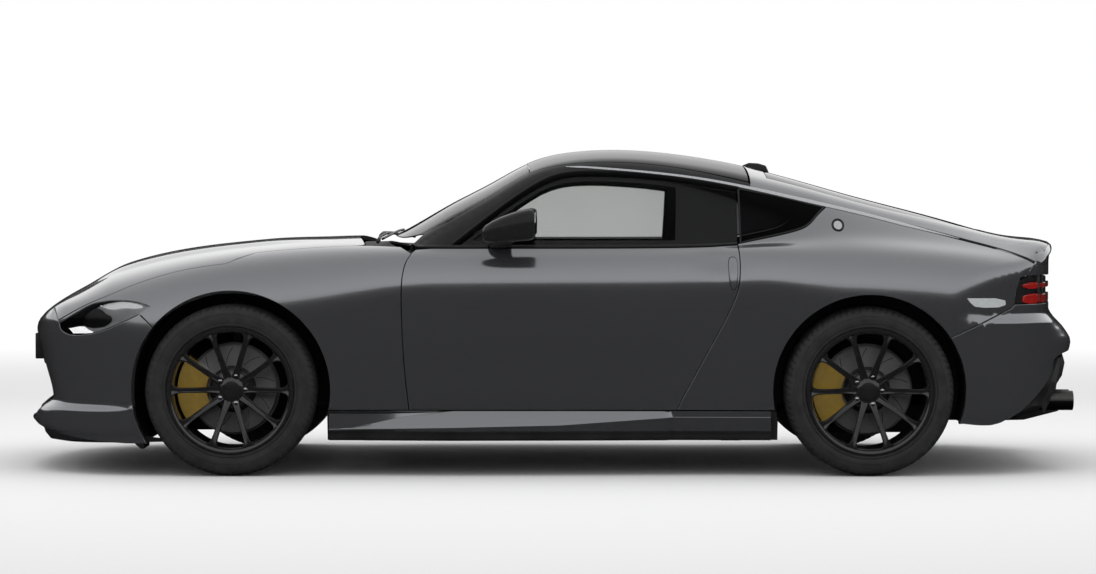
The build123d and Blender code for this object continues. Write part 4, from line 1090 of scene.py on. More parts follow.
bothPieces(skinPiece, "quarter_window", roundChart, quarterWindow, material=darkGlass, **glassShape, spacing=0.018,
    stands=["fixed_glass"])
say("quarter panels")

# rear bumper and the black band above it
bumperRearHalf = traced([(rearChart, [(0.0, 0.684), (0.5, 0.684), (0.76, 0.684)], 0),
    (sideChart, [(-1.9, 0.684), (-1.852, 0.684), (-1.845, 0.672), (-1.592, 0.556)], 0),
    (sideChart, arcPoints(archRear, 146.6, 200.5), 0), (sideChart,
    [(-1.64, 0.207), (-1.7, 0.2), (-1.77, 0.2), (-1.85, 0.232), (-1.93, 0.29), (-2.0, 0.36), (-2.03, 0.4)], 1),
    (rearChart, [(0.64, 0.455), (0.56, 0.48), (0.3, 0.486), (0.0, 0.486)], 1)])
bodyPiece(skinPiece("rear_bumper_skin", tailChart, bothSides(bumperRearHalf), material=paint, wall=0.014,
    fold=0.035), "car", "rear_bumper")
bandHalf = traced([(rearChart, [(0.0, 0.79), (0.7, 0.79), (0.77, 0.798)], 0),
    (sideChart, [(-1.99, 0.8), (-1.88, 0.79), (-1.862, 0.738), (-1.852, 0.684)], 1),
    (rearChart, [(0.78, 0.684), (0.5, 0.684), (0.0, 0.684)], 0)])
bodyPiece(skinPiece("tail_band", tailChart, bothSides(bandHalf), material=blackPaint, wall=0.02, inset=0.01), "car",
    "tail_panel", "tail_lamps")
say("rear bumper and band")

# tail lamps: two red bars in the black band
lampBars = {"upper": (0.768, 0.02), "lower": (0.722, 0.034)}
for key, (z, tall) in lampBars.items():
    bar = traced([(rearChart, [(0.3, z), (0.56, z), (0.7, z), (0.76, z)], 1),
        (sideChart, [(-1.96, z), (-1.905, z - 0.002)], 0), (sideChart,
        [(-1.895, z - 0.006), (-1.89, z - tall + 0.006)], 0),
        (sideChart, [(-1.905, z - tall), (-1.96, z - tall)], 0),
        (rearChart, [(0.76, z - tall), (0.7, z - tall), (0.56, z - tall), (0.3, z - tall)], 1)], 0.007)
    bothPieces(skinPiece, "tail_bar_" + key, tailChart, bar, material=redLens, wall=0.012, roll=0.003, inset=0.001,
        gap=0.0, spacing=0.014, stands=["tail_lamps"])

# spoiler across the hatch's rear edge: sections at each y
spoiler = {"half": 0.7, "steps": 72, "middle": 0.905, "back": 0.016, "droop": 0.06}
spoilerRows = []
for y, e in acrossCar(spoiler):
    back = tailBack(abs(y)) * 0.95 + spoiler["back"]
    droop = spoiler["droop"] * e ** 3.2
    grow = 1 - 0.55 * max(0, (e - 0.86) / 0.14) ** 2
    row = []
    for x, z in ((-1.85, 0.93), (-1.88, 0.944), (-1.907, 0.9495), (-1.96, 0.948), (-2.02, 0.944), (-2.07, 0.939),
            (-2.096, 0.932), (-2.109, 0.922), (-2.111, 0.914), (-2.104, 0.903), (-2.085, 0.888), (-2.06, 0.872),
            (-2.02, 0.862), (-1.94, 0.88), (-1.87, 0.905)):
        row.append((x + back, y, spoiler["middle"] + (z - spoiler["middle"]) * grow - droop))
    spoilerRows.append(row)
bodyPiece(lofted("spoiler", spoilerRows, paint, 50), "hatch", "hatch")

# diffuser: a black wedge under the rear bumper, with fins
diffuser = {"half": 0.7, "steps": 60, "cornerBack": 0.042, "top": 0.47, "fins": (-0.34, -0.17, 0.0, 0.17, 0.34),
    "finWidth": 0.01}
diffuserRows = []
for y, e in acrossCar(diffuser):
    back = tailBack(abs(y)) + 0.002 + diffuser["cornerBack"] * fade(abs(y), *cornerFade)
    cut = max(0.0, (e - 0.8) / 0.2)
    top = diffuser["top"] - 0.03 * e ** 3 - 0.17 * cut
    row = []
    for x, z in ((-2.15, top), (-2.16, top - 0.035), (-2.15, 0.38), (-2.128, 0.345), (-2.118, 0.27),
            (-2.095, 0.258), (-2.02, 0.228), (-1.9, 0.208), (-1.86, 0.206), (-1.86, 0.222), (-2.01, 0.25),
            (-2.085, 0.285), (-2.1, 0.37), (-2.1, top)):
        row.append((x + back + 0.006, y, min(z, top)))
    diffuserRows.append(row)
bodyPiece(lofted("rear_diffuser_skin", diffuserRows, blackTrim, 40), "car", "rear_diffuser")
for k, y in enumerate(diffuser["fins"]):
    fin = [(-1.87, 0.214), (-2.02, 0.236), (-2.1, 0.262), (-2.124, 0.3), (-2.13, 0.262), (-2.1, 0.226),
        (-1.96, 0.19), (-1.88, 0.188)]
    half = diffuser["finWidth"] / 2
    bodyPiece(prism("diffuser_fin_%d" % k, fin, "y", y - half, y + half, blackTrim, 0.002), "car", "rear_diffuser")
foglamp = [(-0.055, 0.296), (0.055, 0.296), (0.04, 0.326), (-0.04, 0.326)]
bodyPiece(prism("rear_fog_lamp", foglamp, "x", -2.132, -2.11, redLens, 0.003), "car", "rear_diffuser")
say("tail lamps, spoiler and diffuser")

# sills: a lit band whose top faces up, over a black skirt
sill = {"front": 0.893, "rear": -0.872, "steps": 120, "seam": 0.2625, "ledge": 0.75, "skirtTop": 0.183,
    "shelfTop": [(-0.47, 0.246), (-0.456, 0.258), (0.4, 0.2585), (0.6, 0.236), (0.8, 0.192), (0.893, 0.188)],
    "shelfLow": [(-0.47, 0.234), (-0.03, 0.204), (0.45, 0.194), (0.8, 0.188), (0.893, 0.186)]}


def alongSill(key, x):
    return np.interp(x, *zip(*sill[key]))


sillRows = []
for k in range(sill["steps"] + 1):
    x = sill["front"] + (sill["rear"] - sill["front"]) * k / sill["steps"]
    yTop = sideY(x, sill["seam"])
    high, low = alongSill("shelfTop", x), alongSill("shelfLow", x)
    if x < -0.47:
        high, low = 0.258, 0.234
    step = sill["ledge"] * (high - low) * (fade(x, -0.476, -0.45) - fade(x, 0.8, 0.84))
    out = yTop + 0.003 + step
    row = [(yTop - 0.05, 0.259), (yTop - 0.003, 0.259), (yTop + 0.001, high + 0.001), (yTop + 0.003, high),
        (out, low + 0.0015), (out + 0.001, low), (out - 0.001, low - 0.005), (out - 0.007, min(low, 0.19) - 0.01),
        (out - 0.01, 0.1725), (out - 0.015, 0.169), (out - 0.018, 0.15), (out - 0.028, 0.141), (out - 0.09, 0.141),
        (out - 0.09, 0.2)]
    sillRows.append([(x, y, z) for y, z in row])
skirtMaterial = moulded("black skirt", (0.014, 0.014, 0.015), 0.42)
for side, name in leftRight:
    piece = lofted("sill_skin_" + name, sillRows, paint, 24, side)
    piece.data.materials.append(skirtMaterial)
    for face in piece.data.polygons:
        if face.center.z < sill["skirtTop"]:
            face.material_index = 1
    bodyPiece(piece, "car")

# door glass, trim and belt seals
doorGlassLine = [(0.388, 0.918), (0.212, 1.062), (0.12, 1.127), (0.03, 1.18), (-0.06, 1.207), (-0.193, 1.212),
    (-0.396, 1.2), (-0.599, 1.172), (-0.748, 1.147)]
doorGlassLoop = traced([(sideChart, doorGlassLine, 1), (sideChart, [(-0.748, 1.147), (-0.746, 0.927)], 0),
    (sideChart, [(-0.746, 0.927), (-0.6, 0.916), (-0.2, 0.913), (0.388, 0.913)], 0)])
clearPart = traced([(sideChart, [(0.318, 0.954), (0.196, 1.052), (0.108, 1.114), (0.024, 1.164), (-0.066, 1.189),
    (-0.193, 1.194), (-0.396, 1.181), (-0.5, 1.167)], 1), (sideChart, [(-0.5, 1.167), (-0.492, 0.954)], 0),
    (sideChart, [(-0.492, 0.954), (0.318, 0.954)], 0)], 0.012)
trimDoor = traced([(sideChart, [(0.545, 0.29), (0.56, 0.4), (0.57, 0.6), (0.57, 0.77), (0.545, 0.868)], 1),
    (sideChart, [(0.545, 0.868), (0.4, 0.896), (-0.2, 0.896), (-0.7, 0.902)], 0),
    (sideChart, [(-0.715, 0.85), (-0.71, 0.743), (-0.668, 0.64), (-0.556, 0.44), (-0.485, 0.31), (-0.47, 0.29)], 1),
    (sideChart, [(-0.47, 0.29), (0.545, 0.29)], 0)], 0.014)
leather = moulded("black leather", (0.022, 0.021, 0.021), 0.52, 620.0, 0.35)
cabinPlastic = moulded("cabin plastic", (0.024, 0.024, 0.025), 0.62, 1500.0, 0.25)
frit = gloss("glass border", (0.006, 0.006, 0.006), 0.08, 0.3)
bothPieces(skinPiece, "door_window", roundChart, doorGlassLoop, material=clearGlass, wall=0.004, roll=0.001,
    gap=0.003, inset=0.007, spacing=0.02, on="door_{}", stands=["door_glass_{}"])
bothPieces(skinPiece, "door_window_frame", roundChart, doorGlassLoop, [clearPart], material=frit, wall=0.02,
    roll=0.001, gap=0.004, inset=0.0125, spacing=0.02, on="door_{}", stands=["door_glass_{}"])
bothPieces(skinPiece, "door_trim", roundChart, trimDoor, material=cabinPlastic, wall=0.055, roll=0.004, gap=0.0,
    inset=0.034, spacing=0.035, on="door_{}", stands=["door_{}"])
armRest = [(0.36, 0.64), (0.3, 0.672), (-0.18, 0.69), (-0.34, 0.672), (-0.36, 0.63), (-0.2, 0.6), (0.25, 0.59)]
armLoop = traced([(sideChart, armRest + armRest[:1], 1)], 0.014)
bothPieces(skinPiece, "door_armrest", roundChart, armLoop, material=leather, wall=0.065, roll=0.01, gap=0.0,
    inset=0.085, spacing=0.03, on="door_{}")
belt = line(sideChart, [(0.54, 0.9135), (0.3, 0.9145), (-0.2, 0.9145), (-0.6, 0.918), (-0.742, 0.927)])
bothPieces(moulding, "belt_seal", belt, 0.014, 0.005, blackPaint, on="door_{}")
say("sills, door glass and trim")

# the flush handle stands upright at the door's rear edge, behind a scooped recess
handleBody = moulded("handle cup", (0.03, 0.03, 0.032), 0.4)
handleLine = [(-0.708, 0.872), (-0.722, 0.876), (-0.736, 0.866), (-0.738, 0.8), (-0.732, 0.752), (-0.722, 0.742),
    (-0.71, 0.75), (-0.704, 0.8), (-0.702, 0.856), (-0.708, 0.872)]
handleLoop = traced([(sideChart, handleLine, 1)], 0.005)
bothPieces(skinPiece, "door_handle", sideChart, handleLoop, material=paint, wall=0.006, roll=0.003, gap=0.0,
    inset=-0.007, spacing=0.01, on="door_{}")
bothPieces(moulding, "handle_gap", handleLoop, 0.004, 0.0006, handleBody, closed=True, on="door_{}")

# satin strip from the windscreen's top back to the hatch's end
silverLine = line(sideChart, [(-0.055, 1.236), (-0.12, 1.236), (-0.193, 1.231), (-0.4, 1.214), (-0.599, 1.19),
    (-0.8, 1.1525), (-1.005, 1.106), (-1.265, 1.047), (-1.404, 1.01), (-1.606, 0.957), (-1.655, 0.944)], 2)


def stripWide(s):
    return np.interp(s, [0, 0.03, 0.3, 0.62, 0.86, 1.0], [0.004, 0.012, 0.015, 0.024, 0.026, 0.003])


bothPieces(moulding, "roof_strip", silverLine, stripWide, 0.0035, silver)

# drip moulding over the door glass, and the seal round the quarter window
drip = line(sideChart, [(0.4, 0.93), (0.219, 1.071), (0.125, 1.137), (0.032, 1.193), (-0.058, 1.2195),
    (-0.193, 1.2245), (-0.398, 1.2125), (-0.601, 1.1845), (-0.76, 1.155)], 1)
bothPieces(moulding, "window_seal", drip, 0.008, 0.003, softBlack)
bothPieces(moulding, "quarter_seal", quarterWindow, 0.007, 0.0018, blackPaint, closed=True)

# plain ring on each rear pillar
ring = {"x": -1.157, "z": 1.001, "radius": 0.022, "disc": 0.018}
ringPath, ringDisc = (sideChart.find(np.array([(ring["x"] + ring[key] * c, ring["z"] + ring[key] * s)
    for c, s in circle(count)])) for key, count in (("radius", 40), ("disc", 32)))
bothPieces(moulding, "pillar_ring", ringPath, 0.0085, 0.004, blackPaint, closed=True)
bothPieces(skinPiece, "pillar_disc", sideChart, ringDisc, material=silver, wall=0.003, roll=0.001, gap=0.0,
    inset=-0.0015, spacing=0.008)

# side markers in the rear bumper; they are unlit, and their emission is painted glow standing in for light they
# reflect
markerLine = [(-1.651, 0.711), (-1.812, 0.709), (-1.8145, 0.673), (-1.69, 0.672), (-1.664, 0.692), (-1.651, 0.711)]
markerPaintedGlow = glowing("side marker", (0.75, 0.78, 0.78), 0.16, (0.4, 0.42, 0.42))
bothPieces(skinPiece, "side_marker", sideChart, traced([(sideChart, markerLine, 1)], 0.006), material=markerPaintedGlow,
    wall=0.006, roll=0.0015, gap=0.0, inset=-0.002, spacing=0.012)

# shark fin on the hatch's front edge
sharkFin = {"front": -0.808, "length": 0.112, "sunk": 0.004, "steps": 24}
finRows = []
for k in range(sharkFin["steps"] + 1):
    s = k / sharkFin["steps"]
    x = sharkFin["front"] - sharkFin["length"] * s
    tall = np.interp(s, [0, 0.25, 0.6, 0.9, 1.0], [0.002, 0.02, 0.0275, 0.026, 0.004])
    wide = np.interp(s, [0, 0.3, 0.7, 1.0], [0.006, 0.017, 0.021, 0.012])
    base = topZ(x, 0.0) - sharkFin["sunk"]
    finRows.append([(x, wide * math.cos(t) * (1 - 0.45 * math.sin(t)),
        base + (tall + sharkFin["sunk"]) * math.sin(t) ** 0.8) for t in np.linspace(0, math.pi, 13)]
        + [(x, 0.0, base - sharkFin["sunk"])])
bodyPiece(lofted("antenna_fin", finRows, blackPaint), "car", "roof_panel")
say("handles, strips, ring, markers, fin")

# mirrors: a rounded shell on a black foot, glass facing back; the shell's sections are x, half y, half z, z
mirror = {"y": 0.918, "z": 1.006, "sweep": 0.06, "glass": (0.074, 0.049), "glassX": (0.068, 0.0705)}
shellTable = [(0.07, 0.08, 0.054, 1.006), (0.078, 0.088, 0.061, 1.006), (0.092, 0.091, 0.064, 1.005),
    (0.125, 0.09, 0.062, 1.001), (0.165, 0.086, 0.058, 0.993), (0.205, 0.077, 0.052, 0.984),
    (0.24, 0.062, 0.044, 0.975), (0.268, 0.042, 0.033, 0.968), (0.282, 0.02, 0.016, 0.964)]
footTable = [(0.215, 0.79, 0.915, 0.05, 0.012), (0.205, 0.815, 0.924, 0.042, 0.012),
    (0.19, 0.845, 0.936, 0.036, 0.012), (0.175, 0.88, 0.95, 0.034, 0.014)]
shellRows = [[(x, mirror["y"] + halfY * a - mirror["sweep"] * (x - 0.07), z + halfZ * b)
    for a, b in squircle(44, 0.6, 0.65)] for x, halfY, halfZ, z in shellTable]
footRows = [[(x + wide * c, y - 0.25 * tall * s, z + tall * s) for c, s in circle(20)]
    for x, y, z, wide, tall in footTable]
mirrorFace = [(mirror["y"] + mirror["glass"][0] * a, mirror["z"] + mirror["glass"][1] * b)
    for a, b in squircle(36, 0.6, 0.65)]
mirrorGlass = metal("mirror glass", (0.8, 0.82, 0.84), 0.07, (1, 1, 1), 0.0)
bothPieces(lofted, "mirror_shell", shellRows, blackPaint, 50, on="door_{}", stands=["mirror_{}"])
bothPieces(prism, "mirror_glass", mirrorFace, "x", *mirror["glassX"], mirrorGlass, 0.0, on="door_{}",
    stands=["mirror_{}"])
bothPieces(lofted, "mirror_foot", footRows, blackPaint, on="door_{}", stands=["mirror_{}"])
say("mirrors")

# cowl and wipers
cowlHalf = traced([(topChart, [(0.796, 0.0), (0.786, 0.25), (0.762, 0.5), (0.748, 0.68)], 1),
    (topChart, [(0.748, 0.68), (0.7, 0.702), (0.61, 0.732), (0.575, 0.728), (0.59, 0.69)], 0),
    (topChart, [(0.59, 0.69), (0.64, 0.52), (0.676, 0.3), (0.69, 0.0)], 1)])
cowlGrain = moulded("cowl plastic", (0.018, 0.018, 0.018), 0.65, 700.0, 0.4)
bodyPiece(skinPiece("cowl_cover", topChart, bothSides(cowlHalf), material=cowlGrain, wall=0.01, inset=0.026,
    gap=0.004), "car", "cowl_panel")
wiperSteel = moulded("wiper arm", (0.015, 0.015, 0.015), 0.38, 900.0, 0.1)
wipers = {"driver": ((0.715, 0.52), (0.662, -0.06)), "passenger": ((0.735, -0.08), (0.64, -0.56))}
for key, (pivot, tip) in wipers.items():
    reachX, reachY = tip[0] - pivot[0], tip[1] - pivot[1]
    wiper, arm, blade = bmesh.new(), [], []
    for i, s in enumerate(np.linspace(0, 0.62, 12)):
        x, y = pivot[0] + reachX * s, pivot[1] + reachY * s
        arm.append((x, y, topZ(x, y) + np.interp(i, [0, 2, 8, 11], [-0.004, 0.012, 0.014, 0.01])))
    for s in np.linspace(0.02, 1.12, 24):
        x, y = pivot[0] + reachX * s - 0.018, pivot[1] + reachY * s
        blade.append((x, y, topZ(x, y) + 0.0075))
    tubeAlong(wiper, arm, [0.008] * 2 + [0.0055] * 10, 8)
    tubeAlong(wiper, blade, 0.0055, 8)
    bodyPiece(finished("wiper_" + key, wiper, wiperSteel), "car", "cowl_panel")
say("cowl and wipers")

# closing panel below the spoiler, on the hatch
faceHalf = traced([(rearChart, [(0.0, 0.796), (0.5, 0.796), (0.745, 0.8)], 0),
    (rearChart, [(0.752, 0.815), (0.72, 0.85), (0.66, 0.872), (0.4, 0.882), (0.0, 0.884)], 1)])
bodyPiece(skinPiece("hatch_rear_face", tailChart, bothSides(faceHalf), material=paint, wall=0.012, gap=0.002),
    "hatch", "hatch")
latch = prism("hatch_latch", [(-0.03, 0.8), (0.03, 0.8), (0.034, 0.812), (-0.034, 0.812)], "x", -2.106, -2.08,
    blackTrim, 0.003)
bodyPiece(latch, "hatch", "hatch")

# wheels
axles = {"front": {"x": 1.285, "z": 0.343, "mid": 0.777, "radius": 0.343, "width": 0.255},
    "rear": {"x": -1.265, "z": 0.338, "mid": 0.775, "radius": 0.338, "width": 0.275}}
wheel = {"seat": 0.2413, "face": 0.043, "spokes": 10, "bolts": 5, "boltCircle": 0.1143, "treadBlocks": 76,
    "grooveDepth": 0.0065, "disc": 0.176}
rimBlack = gloss("wheel black", (0.0125, 0.0125, 0.0135), 0.2, 0.6)
nutChrome = metal("wheel nut", (0.42, 0.42, 0.44), 0.22, (1, 1, 1), 0.05)
caliperGold = gloss("caliper gold", (0.46, 0.29, 0.035), 0.26, 0.8)
ironDark = metal("cast iron", (0.3, 0.3, 0.31), 0.45, (1, 1, 1), 0.4, 240.0)


def aroundAxle(m, axle):
    # distance from the wheel's axis and the angle about it
    x = m.axis("X") - axle["x"]
    z = m.axis("Z") - axle["z"]
    return (x * x + z * z) ** 0.5, x.math("ARCTAN2", z)


def rubberFor(key, axle):
    m = Material("tyre rubber " + key)
    r, turn = aroundAxle(m, axle)
    dust = m.noise(26.0, 4.0, 0.6)
    ribs = (r * 2200.0).math("SINE") * 0.5 + 0.5
    fine = (turn * 240.0).math("SINE") * 0.5 + 0.5
    band = (r - axle["radius"] + 0.058).size().ramp(0.016, 0.012)
    height = ribs * 0.35 * (1 - band) + band * fine + m.noise(700.0, 2.0) * 0.3
    tone = m.mix(dust.ramp(0.3, 0.75), (0.017, 0.017, 0.0175), (0.03, 0.03, 0.0305))
    return m.finish(m.surface({"Specular IOR Level": 0.35},
        {"Base Color": tone, "Roughness": dust * 0.16 + 0.6, "Normal": m.bump(height, 0.3, 0.0008)}))


def discFor(key, axle):
    m = Material("brake disc " + key)
    r, turn = aroundAxle(m, axle)
    swirl = m.noise(1.0, 4.0, 0.7, m.add("ShaderNodeCombineXYZ", inputs={0: r * 900.0, 1: turn * 1.5, 2: 0.0}))
    slot = (turn * (9 / (2 * math.pi)) + r * 6.0).math("FRACT") < 0.03
    slot = slot * (r > 0.104) * (r < 0.168)
    hat = r < 0.094
    tone = m.mix(swirl.ramp(0.2, 0.8), (0.36, 0.36, 0.37), (0.56, 0.56, 0.57))
    tone = m.mix(hat, tone, (0.1, 0.1, 0.105))
    # the slots are painted near black: painted shade in the grooves, which the bump only dents shallowly
    tone = m.mix(slot, tone, (0.03, 0.03, 0.03))
    return m.finish(m.surface({"Metallic": 1.0}, {"Base Color": tone, "Roughness": swirl * 0.16 + 0.26,
        "Normal": m.bump(swirl * 0.5 - slot, 0.25, 0.0006)}))


def lathed(bm, profile, x, z, count):
    # an open profile of (radius, y) about a line along Y, closed at both ends
    rings(bm, [[(x + r * c, y, z + r * s) for c, s in circle(count)] for r, y in profile], True, True)


def tyreShape(bm, axle):
    half, top, seat = axle["width"] / 2, axle["radius"], wheel["seat"]
    side = [(seat, half - 0.0166), (seat + 0.0115, half - 0.0128), (seat + 0.0155, half - 0.009),
        (seat + 0.019, half - 0.0028), (seat + 0.0235, half - 0.0022), (seat + 0.0265, half - 0.0062),
        (top - 0.062, half - 0.0022), (top - 0.05, half - 0.0016), (top - 0.0495, half - 0.003),
        (top - 0.036, half - 0.0042), (top - 0.0355, half - 0.0028), (top - 0.028, half - 0.0052),
        (top - 0.022, half - 0.0078), (top - 0.015, half - 0.013), (top - 0.01, half - 0.019),
        (top - 0.006, half - 0.027), (top - 0.003, half - 0.036), (top - 0.0012, half - 0.045)]
    tread = []
    for middle in (0.06, 0.021):
        tread += [(top - 0.0004, middle + 0.0065), (top - wheel["grooveDepth"], middle + 0.0048),
            (top - wheel["grooveDepth"], middle - 0.0048), (top - 0.0002, middle - 0.0065)]
    halfProfile = side + tread
    profile = halfProfile + [(r, -y) for r, y in halfProfile[::-1]]
    profile += [(seat + 0.009, -half + 0.028), (seat + 0.009, half - 0.028)]
    edge = half - 0.026

    def cut(i, t, r, y):
        if r < top - 0.02 or i >= len(profile) - 2:
            return 0.0
        share = (t * wheel["treadBlocks"] / (2 * math.pi) + abs(y) * 14) % 1.0
        if abs(y) > 0.066:
            return -0.005 if share < 0.2 else 0.0
        if 0.028 < abs(y) < 0.053:
            return -0.004 if 0.5 < share < 0.62 else 0.0
        return 0.0
    turned(bm, profile, (axle["x"], axle["z"]), wheel["treadBlocks"] * 5, cut)


def rimShape(bm, axle):
    half, cx, cz, face = axle["width"] / 2, axle["x"], axle["z"], wheel["face"]
    barrel = [(0.2412, -half + 0.016), (0.253, -half + 0.012), (0.253, -half + 0.006), (0.2325, -half + 0.006),
        (0.23, -half + 0.03), (0.2285, -0.01), (0.2288, half - 0.06), (0.2305, half - 0.03),
        (0.2345, half - 0.0125), (0.238, half - 0.007), (0.244, half - 0.004), (0.251, half - 0.004),
        (0.2532, half - 0.006), (0.253, half - 0.0118), (0.2412, half - 0.016)]
    turned(bm, barrel[:-1] + [(0.2411, half - 0.0162)], (cx, cz), 160)
    hub = [(0.0262, face - 0.018), (0.074, face - 0.018), (0.077, face - 0.012), (0.077, face - 0.002),
        (0.0735, face + 0.004), (0.046, face + 0.011), (0.04, face + 0.0155), (0.0262, face + 0.0158)]
    turned(bm, hub, (cx, cz), 80)
    stations = [(0.048, 0.0165, face + 0.012, 0.024), (0.075, 0.013, face + 0.0245, 0.028),
        (0.105, 0.011, face + 0.0385, 0.03), (0.135, 0.0102, face + 0.052, 0.03), (0.16, 0.01, half - 0.0225, 0.03),
        (0.185, 0.0102, half - 0.0165, 0.03), (0.205, 0.0112, half - 0.0122, 0.03),
        (0.218, 0.014, half - 0.0102, 0.03), (0.227, 0.0205, half - 0.0092, 0.03),
        (0.2335, 0.033, half - 0.0085, 0.026)]
    for k in range(wheel["spokes"]):
        t = 2 * math.pi * k / wheel["spokes"]
        rows = []
        for r, w, y, d in stations:
            section = [(-w, y - d), (-w - 0.0008, y - 0.006), (-w + 0.0006, y - 0.0022), (-w + 0.0032, y),
                (-w * 0.42, y - 0.0004), (-w * 0.22, y - 0.0032), (w * 0.22, y - 0.0032), (w * 0.42, y - 0.0004),
                (w - 0.0032, y), (w - 0.0006, y - 0.0022), (w + 0.0008, y - 0.006), (w, y - d),
                (w * 0.5, y - d - 0.005), (-w * 0.5, y - d - 0.005)]
            rows.append([(cx + r * math.cos(t) - u * math.sin(t), v, cz + r * math.sin(t) + u * math.cos(t))
                for u, v in section])
        rings(bm, rows, True, True)


def nutsShape(bm, axle):
    face, out = wheel["face"], wheel["boltCircle"] / 2
    profile = [(0.0072, face - 0.02), (0.0074, face + 0.001), (0.01, face + 0.003), (0.0104, face + 0.012),
        (0.0094, face + 0.0155), (0.006, face + 0.0175), (0.001, face + 0.018)]
    for k in range(wheel["bolts"]):
        t = 2 * math.pi * (k + 0.5) / wheel["bolts"]
        lathed(bm, profile, axle["x"] + out * math.cos(t), axle["z"] + out * math.sin(t), 12)


def capShape(bm, axle):
    face = wheel["face"]
    lathed(bm, [(0.033, face + 0.012), (0.034, face + 0.0168), (0.0325, face + 0.019), (0.02, face + 0.0205),
        (0.001, face + 0.0212)], axle["x"], axle["z"], 48)


def discShape(bm, axle):
    rim = wheel["disc"]
    profile = [(0.0275, 0.016), (0.07, 0.016), (0.084, 0.0145), (0.088, 0.011), (0.0885, -0.011), (0.094, -0.0112),
        (rim - 0.0015, -0.0112), (rim, -0.0125), (rim, -0.0195), (rim - 0.004, -0.02), (rim - 0.004, -0.032),
        (rim, -0.0325), (rim, -0.0395), (rim - 0.0015, -0.0408), (0.094, -0.0408), (0.08, -0.03), (0.078, 0.005),
        (0.0275, 0.0055)]
    turned(bm, profile, (axle["x"], axle["z"]), 96)


def shieldShape(bm, axle):
    turned(bm, [(0.045, -0.05), (0.15, -0.05), (0.184, -0.047), (0.186, -0.044), (0.1845, -0.044), (0.15, -0.048),
        (0.045, -0.048)], (axle["x"], axle["z"]), 64)


def wheelPiece(name, axle, shape, material, sharp, shift=0.0, mirror=False):
    bm = bmesh.new()
    shape(bm, axle)
    return finished(name, bm, material, sharp, mirror, axle["mid"] + shift)


for end, axle in axles.items():
    parts = (("tyre_tread_", tyreShape, rubberFor(end, axle), 32, "tyre_"),
        ("rim_spokes_", rimShape, rimBlack, 38, "rim_"), ("wheel_nuts_", nutsShape, nutChrome, 30, "rim_"),
        ("wheel_cap_", capShape, rimBlack, 40, "rim_"), ("brake_disc_", discShape, discFor(end, axle), 35, "disc_"))
    for stem, shape, finish, sharp, node in parts:
        bothPieces(wheelPiece, stem + end, axle, shape, finish, sharp, on=f"wheel_{end}_{{}}",
            stands=[f"{node}{end}_{{}}"])
say("wheels")

# black guards inside each wheel arch: real liners, whose flat inner faces (reaching nearly to the axle at the rear)
# are also dark sheets standing in for the shade seen through the wheel; a dark plate behind the wheel's lower half,
# standing in for the shade there; and a shield behind each disc
guardFelt = moulded("arch guard", (0.01, 0.01, 0.01), 0.85, 800.0, 0.3)
guardTable = {"front": {"arch": archFront, "turn": (-31.0, 192.0), "inner": 0.455, "hole": 0.272,
    "carrier": "knuckle_{}"}, "rear": {"arch": archRear, "turn": (-11.0, 199.0), "inner": 0.61, "hole": 0.06,
    "carrier": "car"}}
well = {"wall": 0.005, "off": 0.0035, "skinGap": 0.016, "foot": 0.155, "plateHalf": 0.25, "plate": (0.157, 0.307)}
shieldShift = -0.004


for end, guard in guardTable.items():
    arch, inner, rows = guard["arch"], guard["inner"], []
    radius, outer = arch["radius"] + well["off"], arch["radius"] + well["off"] + well["wall"]
    for t in np.radians(np.linspace(*guard["turn"], 73)):
        (xi, zi), (x, z), (xo, zo) = [(arch["x"] + r * math.cos(t), arch["z"] + r * math.sin(t))
            for r in (guard["hole"], radius, outer)]
        skin = sideY(x, max(z, well["foot"])) - well["skinGap"]
        middle = (inner + skin) / 2
        rows.append([(xi, inner, zi), (x, inner, z), (x, middle, z), (x, skin, z), (xo, skin, zo), (xo, middle, zo),
            (xo, inner - well["wall"], zo), (xi, inner - well["wall"], zi)])
    bothPieces(lofted, "arch_guard_" + end, rows, guardFelt, 40, stands=["wheel_liners"])
    # the plate is a dark sheet that paints in the shade seen through the wheel's lower half
    (rear, front), (low, top) = (arch["x"] - well["plateHalf"], arch["x"] + well["plateHalf"]), well["plate"]
    plate = [(rear, low), (front, low), (front, top), (rear, top)]
    bothPieces(prism, "well_plate_" + end, plate, "y", inner - well["wall"], inner, guardFelt, 0)
    bothPieces(wheelPiece, "brake_shield_" + end, axles[end], shieldShape, ironDark, 40, shieldShift,
        on=guard["carrier"])
say("arch guards and brake shields")

# seats: pads on a moulded shell, on posts and rails
seat = {"x": -0.02, "y": 0.37, "cloth": 4.0, "frames": 12, "cap": 0.012, "voxel": 0.011}
seatLeather = Material("seat leather")
crease = seatLeather.noise(260.0, 3.0, 0.55)
grainFine = seatLeather.noise(900.0, 2.0)
wear = seatLeather.noise(7.0, 3.0)
seatLeather.finish(seatLeather.surface({"Specular IOR Level": 0.4},
    {"Base Color": seatLeather.mix(wear.ramp(0.35, 0.75), (0.02, 0.0195, 0.019), (0.036, 0.035, 0.034)),
    "Roughness": wear * 0.14 + 0.44, "Normal": seatLeather.bump(crease * 0.6 + grainFine * 0.4, 0.32, 0.0009)}))


def padBlock(name, sections):
    # sections along the pad: (centre x, centre z, tilt in degrees, half width, half thickness, bolster rise)
    rows = []
    for x, z, tilt, wide, thick, rise in sections:
        t, row = math.radians(tilt), []
        up = Vector((math.sin(t), 0, math.cos(t)))
        for a, b in squircle(36, 0.45, 0.6):
            y, h = wide * a, thick * b
            if b > 0:
                e = abs(y) / wide
                h += rise * fade(e, 0.52, 0.84) - 0.004 * math.cos(3 * math.pi * min(e, 0.6))
            row.append(Vector((x, y, z)) + up * h)
        rows.append(row)
    return lofted(name, rows, seatLeather.data)


def activate(piece):
    for other in bpy.context.scene.objects:
        other.select_set(False)
    piece.select_set(True)
    bpy.context.view_layer.objects.active = piece


